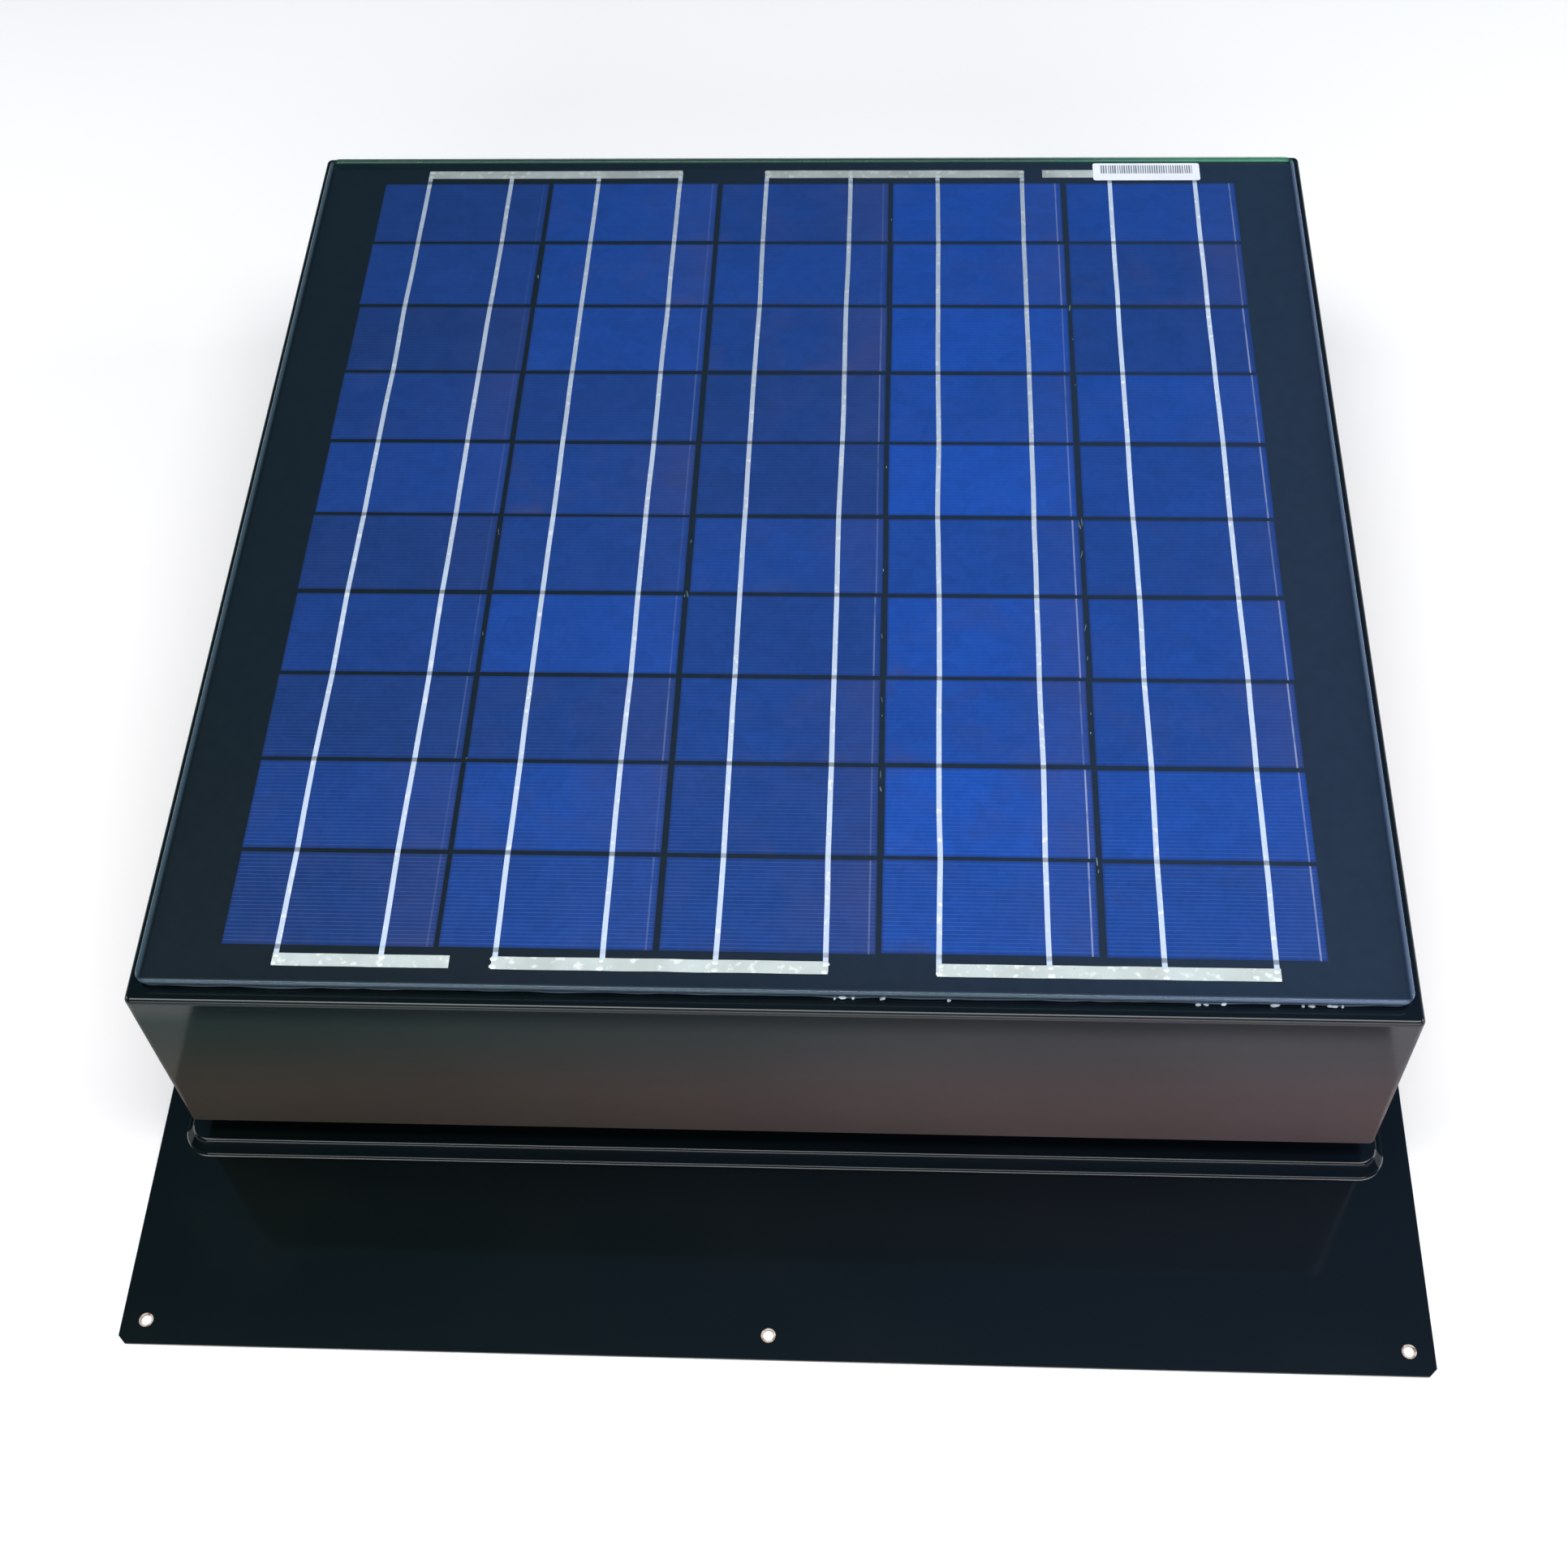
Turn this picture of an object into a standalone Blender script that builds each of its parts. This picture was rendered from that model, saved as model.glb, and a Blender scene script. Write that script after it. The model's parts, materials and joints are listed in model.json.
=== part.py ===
"""Solar attic fan: a roof-mounted exhaust fan under a flat solar panel.

Metres, +Z up. The origin is the centre of the flashing's underside, the face that lies on the roof.
-Y is the front (down-slope) side. The fan turns about the Z axis.
"""

import math

import bmesh
import bpy
from mathutils import Matrix, Vector

# ---------------------------------------------------------------- driving dimensions
GAP = 0.0003                 # clearance between two pieces that touch
SHEET = 0.0010               # steel sheet of the hood, the flashing and the throat

# flashing
FLASHING_WIDTH = 0.660
FLASHING_DEPTH = 0.842
FLASHING_CHAMFER = 0.006
STEP_HEIGHT = 0.0080         # raised step that carries the hood
STEP_HALF = 0.3165           # half side of the step at its foot
STEP_SLOPE = 0.0045          # how far the step's wall leans in
STEP_CORNER = 0.014
BEND = 0.0022                # radius of the step's two bends
MOUNT_HOLE = 0.0028
MOUNT_INSET = 0.0125         # from a hole's centre to the flashing's edge
PLATEAU_TOP = SHEET + STEP_HEIGHT

# hood
HOOD_SIDE = 0.616
SKIRT_HEIGHT = 0.1275
HOOD_BOTTOM = 0.0246
HOOD_CORNER = 0.0035
HOOD_BEND = 0.0025
HEM_HEIGHT = 0.010
HEM_DEPTH = 0.0022
HOOD_TOP = HOOD_BOTTOM + SKIRT_HEIGHT
HOOD_UNDER = HOOD_TOP - SHEET

# solar panel
PANEL_WIDTH = 0.606
PANEL_DEPTH = 0.600
PANEL_CORNER = 0.006
PANEL_SHY = 0.0008           # how far each layer under the glass stands back from the one above
SEAL_HEIGHT = 0.0016
SEAL_BREADTH = 0.014
LAMINATE = 0.0008
GLASS = 0.0032
GLASS_EDGE = 0.0014          # rounding of the glass's long edges
SEAL_BASE = HOOD_TOP + GAP
LAMINATE_BASE = SEAL_BASE + SEAL_HEIGHT + GAP
GLASS_BASE = LAMINATE_BASE + LAMINATE + GAP

# throat
THROAT_RADIUS = 0.184
THROAT_BASE = PLATEAU_TOP + GAP
THROAT_WALL_TOP = 0.080
THROAT_LIP = 0.006
THROAT_FLANGE = 0.206
THROAT_SIDES = 60
THROAT_RIVET_FIRST = 27.0            # degrees; mid-way along one flat of the collar
THROAT_FACE = THROAT_RADIUS * math.cos(math.pi / THROAT_SIDES)   # to the middle of a flat

# posts and screens
SCREEN_HALF = 0.262          # from the centre to the inner face of a screen
SCREEN_SHEET = 0.0010
SCREEN_FOLD = 0.015          # where the fold starts, measured along the post's face from its middle
SCREEN_TAB_END = 0.005
SCREEN_TAB_TRIM = 0.008      # how far the tab's ends stop short of the screen's
POST_SHEET = 0.0025
POST_WIDTH = 0.027
POST_FLANGE = 0.025
FOOT_RIVET_OUT = 0.55        # share of the flange from the post's face to each rivet
HEAD_RIVET_IN = 0.60
POST_FACE = SCREEN_HALF * math.sqrt(2) - SCREEN_FOLD
POST_BEND = 0.003

# fan
WING_COUNT = 5
WING_TIP = 0.176
WING_ROOT = 0.056
WING_SHEET = 0.0015
WING_Z = 0.0665
WING_HALF_CHORD = (0.030, 0.057)     # at the root and at the tip
WING_PITCH = (32.0, 21.0)            # degrees, at the root and at the tip
WING_CURVE = 1.5                     # rise per square metre across the blade
WING_CORNER = 0.012
WING_RISE = (0.040, 0.052)           # radii between which a tongue turns up to the blade's pitch
WING_GAP = 0.0005                    # between a tongue and its blade
WING_ROWS = 7                        # facets of a blade from root to tip, and across it
WING_FACETS = 8
TONGUE_RADII = (0.030, 0.040, 0.044, 0.048, 0.052, 0.069, 0.086)
TONGUE_HALF = 0.012
TONGUE_SHEET = 0.0020
HUB_RADIUS = 0.048
HUB_BOSS = 0.013
HUB_BOTTOM = 0.0590
HUB_TOP = 0.0725
SHAFT_RADIUS = 0.0040
SHAFT_BOTTOM = 0.0172
SHAFT_TOP = 0.0840
WASHER_RADIUS = 0.0090
WASHER_HEIGHT = 0.0015
NUT_RADIUS = 0.0075                  # to a corner of the hexagon
NUT_HEIGHT = 0.0060

# motor and its bracket
BRACKET_BASE = 0.0125
BRACKET_SHEET = 0.0025
BRACKET_ARMS = 3
BRACKET_FIRST = 45.0                 # degrees; this arm carries the motor lead
ARM_HALF = 0.012
ARM_REACH = THROAT_FACE - 2 * GAP
TAB_HEIGHT = 0.020
TAB_SCREW_RISE = 0.011
PLATE_RADIUS = 0.046
CAP_BASE = BRACKET_BASE + BRACKET_SHEET + GAP
CAP_HEIGHT = 0.0060
CAN_RADIUS = 0.040
CAN_WALL = 0.0015
CAN_BASE = CAP_BASE + CAP_HEIGHT + GAP
CAN_TOP = 0.0575
CAN_PLATE = 0.0020
CAN_BEND = 0.0030
CAN_SHAFT_HOLE = 0.0060
CAN_BOSS = 0.0025                    # wall of the seat round the upper bearing
STATOR_BORE = 0.0215
STATOR_TEETH = 6
MAGNET_RADIUS = 0.0206
BEARING_RADIUS = 0.0110
BEARING_HEIGHT = 0.0060
MOTOR_SCREW_CIRCLE = 0.030
MOTOR_SCREW_LENGTH = 0.0065
MOTOR_SCREW_DEPTH = 0.009            # of the cut for it, centred on the cap's underside
BRACKET_SCREW_LENGTH = 0.010

# junction box and leads
BOX_CENTRE_Y = 0.120
BOX_HALF = (0.055, 0.040)
BOX_HEIGHT = 0.024
BOX_WALL = 0.0020
BOX_LID = 0.0027
BOX_TOP = LAMINATE_BASE - GAP
BOX_BASE = BOX_TOP - BOX_HEIGHT
BOX_HOLE_MARGIN = 0.003
BOX_HOLE_CORNER = 0.006
BOX_CORNER = 0.004
BOX_INNER_CORNER = 0.002
LID_CHAMFER = 0.0008
GLAND_HOLE = 0.0053
LEAD_RADIUS = 0.0025
LEAD_Z = 0.1400                      # height of the gland and of the connector
CONNECTOR_RADIUS = 0.0060
CONNECTOR_START = 0.1255
CONNECTOR_LENGTH = 0.0240
GROMMET_ANGLE = BRACKET_FIRST + 6.0  # beside the arm, mid-way along one flat of the collar
GROMMET_Z = 0.0235
GROMMET_HOLE = 0.0042
CLIP_HOLE = 0.0031
CLIP_SLEEVE = CLIP_HOLE + 0.0012
CLIP_STAND = CLIP_SLEEVE + 0.0002    # from a lead's axis to the foot of its clip
CLIP_LENGTH = 0.008
CLIP_FOOT_HALF = 0.006
ARM_CLIP_RADIUS = 0.088
POST_CLIP_Z = 0.078
HOOD_CLIP_PLACE = (0.2214, 0.1770)
HOOD_CLIP_TURN = -4.0                # degrees, along the lead

# fasteners
RIVET_SHANK = 0.0020
RIVET_HEAD = 0.0042
RIVET_HOLE = RIVET_SHANK + GAP
HOLE_SIDES = 12
RIVET_SIDES = 10
CUT_LENGTH = 0.02

Z_AXIS = Vector((0.0, 0.0, 1.0))


# ---------------------------------------------------------------- scene and finishes
def clear_scene():
    for thing in list(bpy.data.objects):
        bpy.data.objects.remove(thing, do_unlink=True)


def finish(name, colour, roughness, metallic=0.0, alpha=1.0):
    """One Principled material."""
    material = bpy.data.materials.new(name)
    material.use_nodes = True
    shader = material.node_tree.nodes["Principled BSDF"]
    shader.inputs["Base Color"].default_value = (*colour, 1.0)
    shader.inputs["Roughness"].default_value = roughness
    shader.inputs["Metallic"].default_value = metallic
    shader.inputs["Alpha"].default_value = alpha
    material.diffuse_color = (*colour, alpha)
    return material


def make_finishes():
    return {
        "black_paint": finish("black_paint", (0.010, 0.014, 0.016), 0.22),
        "panel_glass": finish("panel_glass", (0.35, 0.50, 0.46), 0.05, 0.0, 0.35),
        "cell_laminate": finish("cell_laminate", (0.018, 0.050, 0.230), 0.30),
        "seal": finish("seal", (0.020, 0.022, 0.025), 0.60),
        "galvanised": finish("galvanised", (0.52, 0.54, 0.55), 0.40, 0.9),
        "screen_steel": finish("screen_steel", (0.45, 0.46, 0.47), 0.45, 0.9),
        "blade_aluminium": finish("blade_aluminium", (0.72, 0.73, 0.74), 0.35, 1.0),
        "motor_black": finish("motor_black", (0.020, 0.020, 0.022), 0.35),
        "stator_steel": finish("stator_steel", (0.30, 0.30, 0.31), 0.50, 0.8),
        "magnet": finish("magnet", (0.060, 0.060, 0.065), 0.45, 0.3),
        "bright_steel": finish("bright_steel", (0.60, 0.60, 0.60), 0.25, 1.0),
        "box_plastic": finish("box_plastic", (0.018, 0.018, 0.019), 0.50),
        "lead_rubber": finish("lead_rubber", (0.015, 0.015, 0.016), 0.55),
        "clip_plastic": finish("clip_plastic", (0.650, 0.650, 0.620), 0.50),
    }


# ---------------------------------------------------------------- modelling helpers
def object_from(name, mesh_data, material, sharp_angle=35.0):
    """Turn a bmesh into a named object with one material."""
    bmesh.ops.recalc_face_normals(mesh_data, faces=mesh_data.faces)
    mesh = bpy.data.meshes.new(name)
    mesh_data.to_mesh(mesh)
    mesh_data.free()
    mesh.materials.append(material)
    mesh.shade_smooth()
    mesh.set_sharp_from_angle(angle=math.radians(sharp_angle))
    piece = bpy.data.objects.new(name, mesh)
    bpy.context.scene.collection.objects.link(piece)
    return piece


def sheet_from(name, mesh_data, material, thickness, facing, offset, sharp_angle=35.0):
    """Turn an open surface into a sheet; its faces look along facing before it gets its thickness."""
    piece = object_from(name, mesh_data, material, sharp_angle)
    looks = sum((face.normal * face.area for face in piece.data.polygons), Vector())
    if looks.dot(facing) < 0:
        piece.data.flip_normals()
    wall = piece.modifiers.new("sheet", "SOLIDIFY")
    wall.thickness = thickness
    wall.offset = offset
    wall.use_even_offset = True
    return piece


def copy_of(piece, name):
    """Another object that shares a piece's mesh."""
    twin = piece.copy()
    twin.name = name
    bpy.context.scene.collection.objects.link(twin)
    return twin


def combine(piece, other, operation):
    """Apply one exact Boolean to a piece and drop the other object."""
    boolean = piece.modifiers.new("combine", "BOOLEAN")
    boolean.solver = "EXACT"
    boolean.operation = operation
    boolean.object = other
    bpy.context.view_layer.update()
    graph = bpy.context.evaluated_depsgraph_get()
    result = bpy.data.meshes.new_from_object(piece.evaluated_get(graph))
    piece.modifiers.clear()
    piece.data = result
    bpy.data.objects.remove(other, do_unlink=True)


def ring_of(mesh_data, points):
    return [mesh_data.verts.new(point) for point in points]


def edges_of(mesh_data, ring):
    """Edges of a closed ring; those that a wall already has are used again."""
    edges = []
    for start, end in zip(ring, ring[1:] + ring[:1]):
        edge = mesh_data.edges.get((start, end))
        edges.append(edge if edge else mesh_data.edges.new((start, end)))
    return edges


def circle_points(centre, radius, sides):
    turn = 2 * math.pi / sides
    return [Vector(centre) + radius * Vector((math.cos(turn * i), math.sin(turn * i), 0.0))
            for i in range(sides)]


def rectangle_points(half_x, half_y, radius, z, steps):
    """A rounded rectangle about the Z axis; one step makes a chamfer."""
    points = []
    for quarter, (side_x, side_y) in enumerate(((1, 1), (-1, 1), (-1, -1), (1, -1))):
        centre = Vector((side_x * (half_x - radius), side_y * (half_y - radius), z))
        for step in range(steps + 1):
            angle = math.pi / 2 * (quarter + step / steps)
            points.append(centre + radius * Vector((math.cos(angle), math.sin(angle), 0.0)))
    return points


def walls(mesh_data, rings):
    """Quads between each ring and the next, all with the same number of points."""
    for ring, following in zip(rings, rings[1:]):
        for i, vert in enumerate(ring):
            after = (i + 1) % len(ring)
            mesh_data.faces.new((vert, ring[after], following[after], following[i]))


def fill_flat(mesh_data, outlines):
    """Faces inside the first outline, left open inside the others."""
    edges = []
    for outline in outlines:
        edges += edges_of(mesh_data, outline)
    filled = bmesh.ops.triangle_fill(mesh_data, edges=edges, use_beauty=True)
    return [item for item in filled["geom"] if isinstance(item, bmesh.types.BMFace)]


def rectangle_stack(name, rings, material, steps=4, ring_shaped=False):
    """A closed solid through rounded rectangles, each (half_x, half_y, radius, z).

    The two end rings get a flat cap, or are joined to each other when the solid is ring-shaped.
    """
    mesh_data = bmesh.new()
    levels = [ring_of(mesh_data, rectangle_points(*ring, steps)) for ring in rings]
    walls(mesh_data, levels)
    if ring_shaped:
        walls(mesh_data, [levels[-1], levels[0]])
    else:
        mesh_data.faces.new(levels[0])
        mesh_data.faces.new(levels[-1])
    return object_from(name, mesh_data, material)


def turned(name, outline, material, sides=32, closed=True):
    """A solid of revolution about Z from (radius, z) points.

    A closed outline makes a ring; an open one starts and ends on the axis.
    """
    mesh_data = bmesh.new()
    verts = [mesh_data.verts.new((radius, 0.0, z)) for radius, z in outline]
    edges = [mesh_data.edges.new(pair) for pair in zip(verts, verts[1:])]
    if closed:
        edges.append(mesh_data.edges.new((verts[-1], verts[0])))
    bmesh.ops.spin(mesh_data, geom=verts + edges, cent=(0, 0, 0), axis=Z_AXIS, dvec=(0, 0, 0),
                   angle=2 * math.pi, steps=sides, use_merge=True, use_duplicate=False)
    bmesh.ops.remove_doubles(mesh_data, verts=mesh_data.verts, dist=1e-6)
    return object_from(name, mesh_data, material)


def arc(centre_r, centre_z, radius, start, end, steps):
    """(radius, z) points on an arc, angles in degrees from the outward direction."""
    points = []
    for step in range(steps + 1):
        angle = math.radians(start + (end - start) * step / steps)
        points.append((centre_r + radius * math.cos(angle), centre_z + radius * math.sin(angle)))
    return points


def extruded(name, outline, depth, material):
    """An outline in the XZ plane made solid along Y, centred on Y = 0."""
    mesh_data = bmesh.new()
    verts = [mesh_data.verts.new((x, -depth / 2, z)) for x, z in outline]
    face = mesh_data.faces.new(verts)
    raised = bmesh.ops.extrude_face_region(mesh_data, geom=[face])
    moved = [item for item in raised["geom"] if isinstance(item, bmesh.types.BMVert)]
    bmesh.ops.translate(mesh_data, verts=moved, vec=(0.0, depth, 0.0))
    return object_from(name, mesh_data, material)


def cylinder(radius, length, matrix, sides=16):
    """A plain cylinder along its own Z, centred; used to cut holes and to build clips."""
    mesh_data = bmesh.new()
    bmesh.ops.create_cone(mesh_data, cap_ends=True, segments=sides, radius1=radius, radius2=radius,
                          depth=length, matrix=matrix)
    return object_from("tool", mesh_data, bpy.data.materials["bright_steel"])


def block(low, high):
    """A plain block between two corners; used to cut openings and to build clips."""
    low = Vector(low)
    high = Vector(high)
    size = high - low
    place = Matrix.Translation((low + high) / 2) @ Matrix.Diagonal((*size, 1.0))
    mesh_data = bmesh.new()
    bmesh.ops.create_cube(mesh_data, size=1.0, matrix=place)
    return object_from("tool", mesh_data, bpy.data.materials["bright_steel"])


def drill(piece, centre, radius, length=CUT_LENGTH, axis=Z_AXIS, sides=HOLE_SIDES):
    """Cut a round hole through a piece."""
    turn = Vector(axis).to_track_quat("Z", "Y").to_matrix().to_4x4()
    combine(piece, cylinder(radius, length, Matrix.Translation(centre) @ turn, sides), "DIFFERENCE")


def polar(radius, degrees, z=0.0):
    angle = math.radians(degrees)
    return Vector((radius * math.cos(angle), radius * math.sin(angle), z))


# ---------------------------------------------------------------- flashing
def mount_hole_centres():
    """Three holes along the front, three along the back and one in the middle of each side."""
    across = FLASHING_WIDTH / 2 - MOUNT_INSET
    along = FLASHING_DEPTH / 2 - MOUNT_INSET
    ends = [(x, y) for y in (-along, along) for x in (-across, 0.0, across)]
    return ends + [(-across, 0.0), (across, 0.0)]


def post_angles():
    return {"back_right": 45, "back_left": 135, "front_left": 225, "front_right": 315}


def foot_rivet_centres():
    return [polar(POST_FACE + POST_FLANGE * FOOT_RIVET_OUT, angle) for angle in post_angles().values()]


def throat_rivet_centres():
    middle = (THROAT_RADIUS + THROAT_FLANGE) / 2 + SHEET
    return [polar(middle, THROAT_RIVET_FIRST + quarter) for quarter in (0, 90, 180, 270)]


def make_flashing(material):
    """Flat sheet with a raised square step, a round throat opening and mounting holes."""
    mesh_data = bmesh.new()
    lean = math.atan2(STEP_SLOPE, STEP_HEIGHT)
    sweep = math.pi / 2 - lean
    bend_steps = 2
    step_rings = []
    for step in range(bend_steps + 1):
        angle = sweep * step / bend_steps
        reach = BEND * math.tan(sweep / 2)
        out = STEP_HALF + reach - BEND * math.sin(angle)
        step_rings.append((out, SHEET + BEND * (1 - math.cos(angle))))
    for step in range(bend_steps + 1):
        angle = sweep * (1 - step / bend_steps)
        reach = BEND * math.tan(sweep / 2)
        out = STEP_HALF - STEP_SLOPE - reach + BEND * math.sin(angle)
        step_rings.append((out, PLATEAU_TOP - BEND * (1 - math.cos(angle))))
    corner_gap = STEP_HALF - STEP_CORNER
    levels = [ring_of(mesh_data, rectangle_points(out, out, out - corner_gap, z, 5))
              for out, z in step_rings]
    walls(mesh_data, levels)

    rim = ring_of(mesh_data, rectangle_points(
        FLASHING_WIDTH / 2, FLASHING_DEPTH / 2, FLASHING_CHAMFER, SHEET, 1))
    outlines = [rim, levels[0]]
    for x, y in mount_hole_centres():
        outlines.append(ring_of(mesh_data, circle_points((x, y, SHEET), MOUNT_HOLE, HOLE_SIDES)))
    fill_flat(mesh_data, outlines)

    outlines = [levels[-1]]
    outlines.append(ring_of(mesh_data, circle_points((0, 0, PLATEAU_TOP), THROAT_RADIUS, THROAT_SIDES)))
    for centre in foot_rivet_centres() + throat_rivet_centres():
        centre.z = PLATEAU_TOP
        outlines.append(ring_of(mesh_data, circle_points(centre, RIVET_HOLE, HOLE_SIDES)))
    fill_flat(mesh_data, outlines)

    return sheet_from("base_flashing", mesh_data, material, SHEET, Z_AXIS, -1.0)


# ---------------------------------------------------------------- hood
def hood_rivet_centres():
    return [polar(POST_FACE - POST_FLANGE * HEAD_RIVET_IN, angle) for angle in post_angles().values()]


def make_hood(material):
    """Square box, open below, with a hemmed lower edge and an opening for the junction box."""
    half = HOOD_SIDE / 2
    rings = []
    for inset, z in arc(0.0, HOOD_TOP - HOOD_BEND, HOOD_BEND, 90, 0, 3):
        out = half - HOOD_BEND + inset
        rings.append((out, out, HOOD_CORNER + out - half + HOOD_BEND * 0.5, z))
    rings.append((half, half, HOOD_CORNER, HOOD_BOTTOM))
    hem = half - HEM_DEPTH
    rings.append((hem, hem, HOOD_CORNER - HEM_DEPTH, HOOD_BOTTOM))
    rings.append((hem, hem, HOOD_CORNER - HEM_DEPTH, HOOD_BOTTOM + HEM_HEIGHT))
    inner = half - SHEET
    rings.append((inner, inner, HOOD_CORNER - SHEET, HOOD_BOTTOM + HEM_HEIGHT + SHEET))
    for inset, z in arc(0.0, HOOD_TOP - HOOD_BEND, HOOD_BEND - SHEET, 0, 90, 2):
        out = half - HOOD_BEND + inset
        rings.append((out, out, HOOD_CORNER - SHEET, z))
    hood = rectangle_stack("hood", rings, material)
    margin = BOX_HOLE_MARGIN
    opening = rectangle_stack("tool", [
        (BOX_HALF[0] + margin, BOX_HALF[1] + margin, BOX_HOLE_CORNER, z)
        for z in (HOOD_UNDER - CUT_LENGTH / 2, HOOD_TOP + CUT_LENGTH / 2)], material, 3)
    opening.location.y = BOX_CENTRE_Y
    combine(hood, opening, "DIFFERENCE")
    for centre in hood_rivet_centres():
        centre.z = HOOD_TOP
        drill(hood, centre, RIVET_HOLE)
    return hood


# ---------------------------------------------------------------- solar panel
def make_panel(finishes):
    """Glass, the cell laminate under it, and the bead of sealant that holds both on the hood."""
    half_x = PANEL_WIDTH / 2
    half_y = PANEL_DEPTH / 2
    edge = GLASS_EDGE
    rings = []
    for inset, rise in arc(0.0, 0.0, edge, -90, 0, 2):
        rings.append((half_x - edge + inset, half_y - edge + inset, PANEL_CORNER,
                      GLASS_BASE + edge + rise))
    for inset, rise in arc(0.0, 0.0, edge, 0, 90, 2):
        rings.append((half_x - edge + inset, half_y - edge + inset, PANEL_CORNER,
                      GLASS_BASE + GLASS - edge + rise))
    rectangle_stack("panel_glass", rings, finishes["panel_glass"], 5)

    rectangle_stack("cell_laminate", [
        (half_x - PANEL_SHY, half_y - PANEL_SHY, PANEL_CORNER, z)
        for z in (LAMINATE_BASE, LAMINATE_BASE + LAMINATE)], finishes["cell_laminate"], 5)

    out_x = half_x - 2 * PANEL_SHY
    out_y = half_y - 2 * PANEL_SHY
    in_x = out_x - SEAL_BREADTH
    in_y = out_y - SEAL_BREADTH
    rectangle_stack("panel_seal", [
        (out_x, out_y, PANEL_CORNER, SEAL_BASE),
        (out_x, out_y, PANEL_CORNER, SEAL_BASE + SEAL_HEIGHT),
        (in_x, in_y, PANEL_CORNER, SEAL_BASE + SEAL_HEIGHT),
        (in_x, in_y, PANEL_CORNER, SEAL_BASE)],
        finishes["seal"], 5, ring_shaped=True)


# ---------------------------------------------------------------- throat
def make_throat(finishes):
    """Round collar with a foot flange and a flared upper lip."""
    inner = THROAT_RADIUS
    outer = THROAT_RADIUS + SHEET
    lip_r = inner + THROAT_LIP
    outline = [(THROAT_FLANGE, THROAT_BASE + SHEET), (THROAT_FLANGE, THROAT_BASE), (inner, THROAT_BASE)]
    outline += arc(lip_r, THROAT_WALL_TOP, THROAT_LIP, 180, 90, 3)
    outline += arc(lip_r, THROAT_WALL_TOP, THROAT_LIP - SHEET, 90, 180, 3)
    outline += [(outer, THROAT_BASE + SHEET)]
    throat = turned("throat_ring", outline, finishes["black_paint"], THROAT_SIDES)
    for centre in throat_rivet_centres():
        centre.z = THROAT_BASE
        drill(throat, centre, RIVET_HOLE)
    for angle in bracket_angles():
        drill(throat, polar(inner, angle, tab_screw_z()), RIVET_HOLE, CUT_LENGTH, polar(1.0, angle))
    drill(throat, polar(inner, GROMMET_ANGLE, GROMMET_Z), GROMMET_HOLE, CUT_LENGTH,
          polar(1.0, GROMMET_ANGLE))
    return throat


# ---------------------------------------------------------------- posts and screens
def make_posts(material):
    """Z-shaped straps that carry the hood: foot turned outward, head turned inward."""
    face = POST_FACE
    back = face - POST_SHEET
    foot = PLATEAU_TOP + GAP
    head = HOOD_UNDER - GAP
    bend = POST_BEND
    inside = bend - POST_SHEET
    outline = [(face + POST_FLANGE, foot), (face + POST_FLANGE, foot + POST_SHEET)]
    outline += arc(face + inside, foot + POST_SHEET + inside, inside, 270, 180, 1)
    outline += arc(face - bend, head - bend, bend, 0, 90, 3)
    outline += [(face - POST_FLANGE, head), (face - POST_FLANGE, head - POST_SHEET)]
    outline += arc(back - inside, head - POST_SHEET - inside, inside, 90, 0, 1)
    outline += arc(back + bend, foot + bend, bend, 180, 270, 3)
    first = extruded("hood_post", outline, POST_WIDTH, material)
    drill(first, (face + POST_FLANGE * FOOT_RIVET_OUT, 0.0, foot), RIVET_HOLE)
    drill(first, (face - POST_FLANGE * HEAD_RIVET_IN, 0.0, head), RIVET_HOLE)
    for place, angle in post_angles().items():
        post = copy_of(first, "hood_post_" + place)
        post.rotation_euler.z = math.radians(angle)
    bpy.data.objects.remove(first, do_unlink=True)


def screen_path():
    """Plan points of the end of one screen: the tab's outer end on the post, then the fold."""
    step = math.sqrt(0.5)
    offset = POST_FACE + GAP
    tab_end = Vector((-(offset - SCREEN_TAB_END) * step, (offset + SCREEN_TAB_END) * step))
    fold_along = SCREEN_HALF / step - offset
    fold = Vector((-(offset - fold_along) * step, SCREEN_HALF))
    return tab_end, fold


def make_screens(material):
    """Insect screens: each sheet stands for a frame filled with wire cloth, with a folded tab
    at each end that lies on a post."""
    tab_end, fold = screen_path()
    low = PLATEAU_TOP + GAP
    high = HOOD_UNDER - GAP
    levels = [low, low + SCREEN_TAB_TRIM, high - SCREEN_TAB_TRIM, high]
    mesh_data = bmesh.new()
    rails = [ring_of(mesh_data, [Vector((x, SCREEN_HALF, z)) for z in levels])
             for x in (fold.x, -fold.x)]
    for row in range(len(levels) - 1):
        mesh_data.faces.new((rails[0][row], rails[0][row + 1], rails[1][row + 1], rails[1][row]))
    for side, rail in zip((1, -1), rails):
        tab = ring_of(mesh_data, [Vector((side * tab_end.x, tab_end.y, z)) for z in levels[1:-1]])
        mesh_data.faces.new((rail[1], rail[2], tab[1], tab[0]))
    first = sheet_from("insect_screen", mesh_data, material, SCREEN_SHEET, Vector((0, 1, 0)), 1.0)
    for place, angle in (("back", 0), ("left", 90), ("front", 180), ("right", 270)):
        screen = copy_of(first, "insect_screen_" + place)
        screen.rotation_euler.z = math.radians(angle)
    bpy.data.objects.remove(first, do_unlink=True)


# ---------------------------------------------------------------- motor bracket
def bracket_angles():
    return [BRACKET_FIRST + 360.0 / BRACKET_ARMS * arm for arm in range(BRACKET_ARMS)]


def tab_screw_z():
    return BRACKET_BASE + BRACKET_SHEET + TAB_SCREW_RISE


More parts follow.
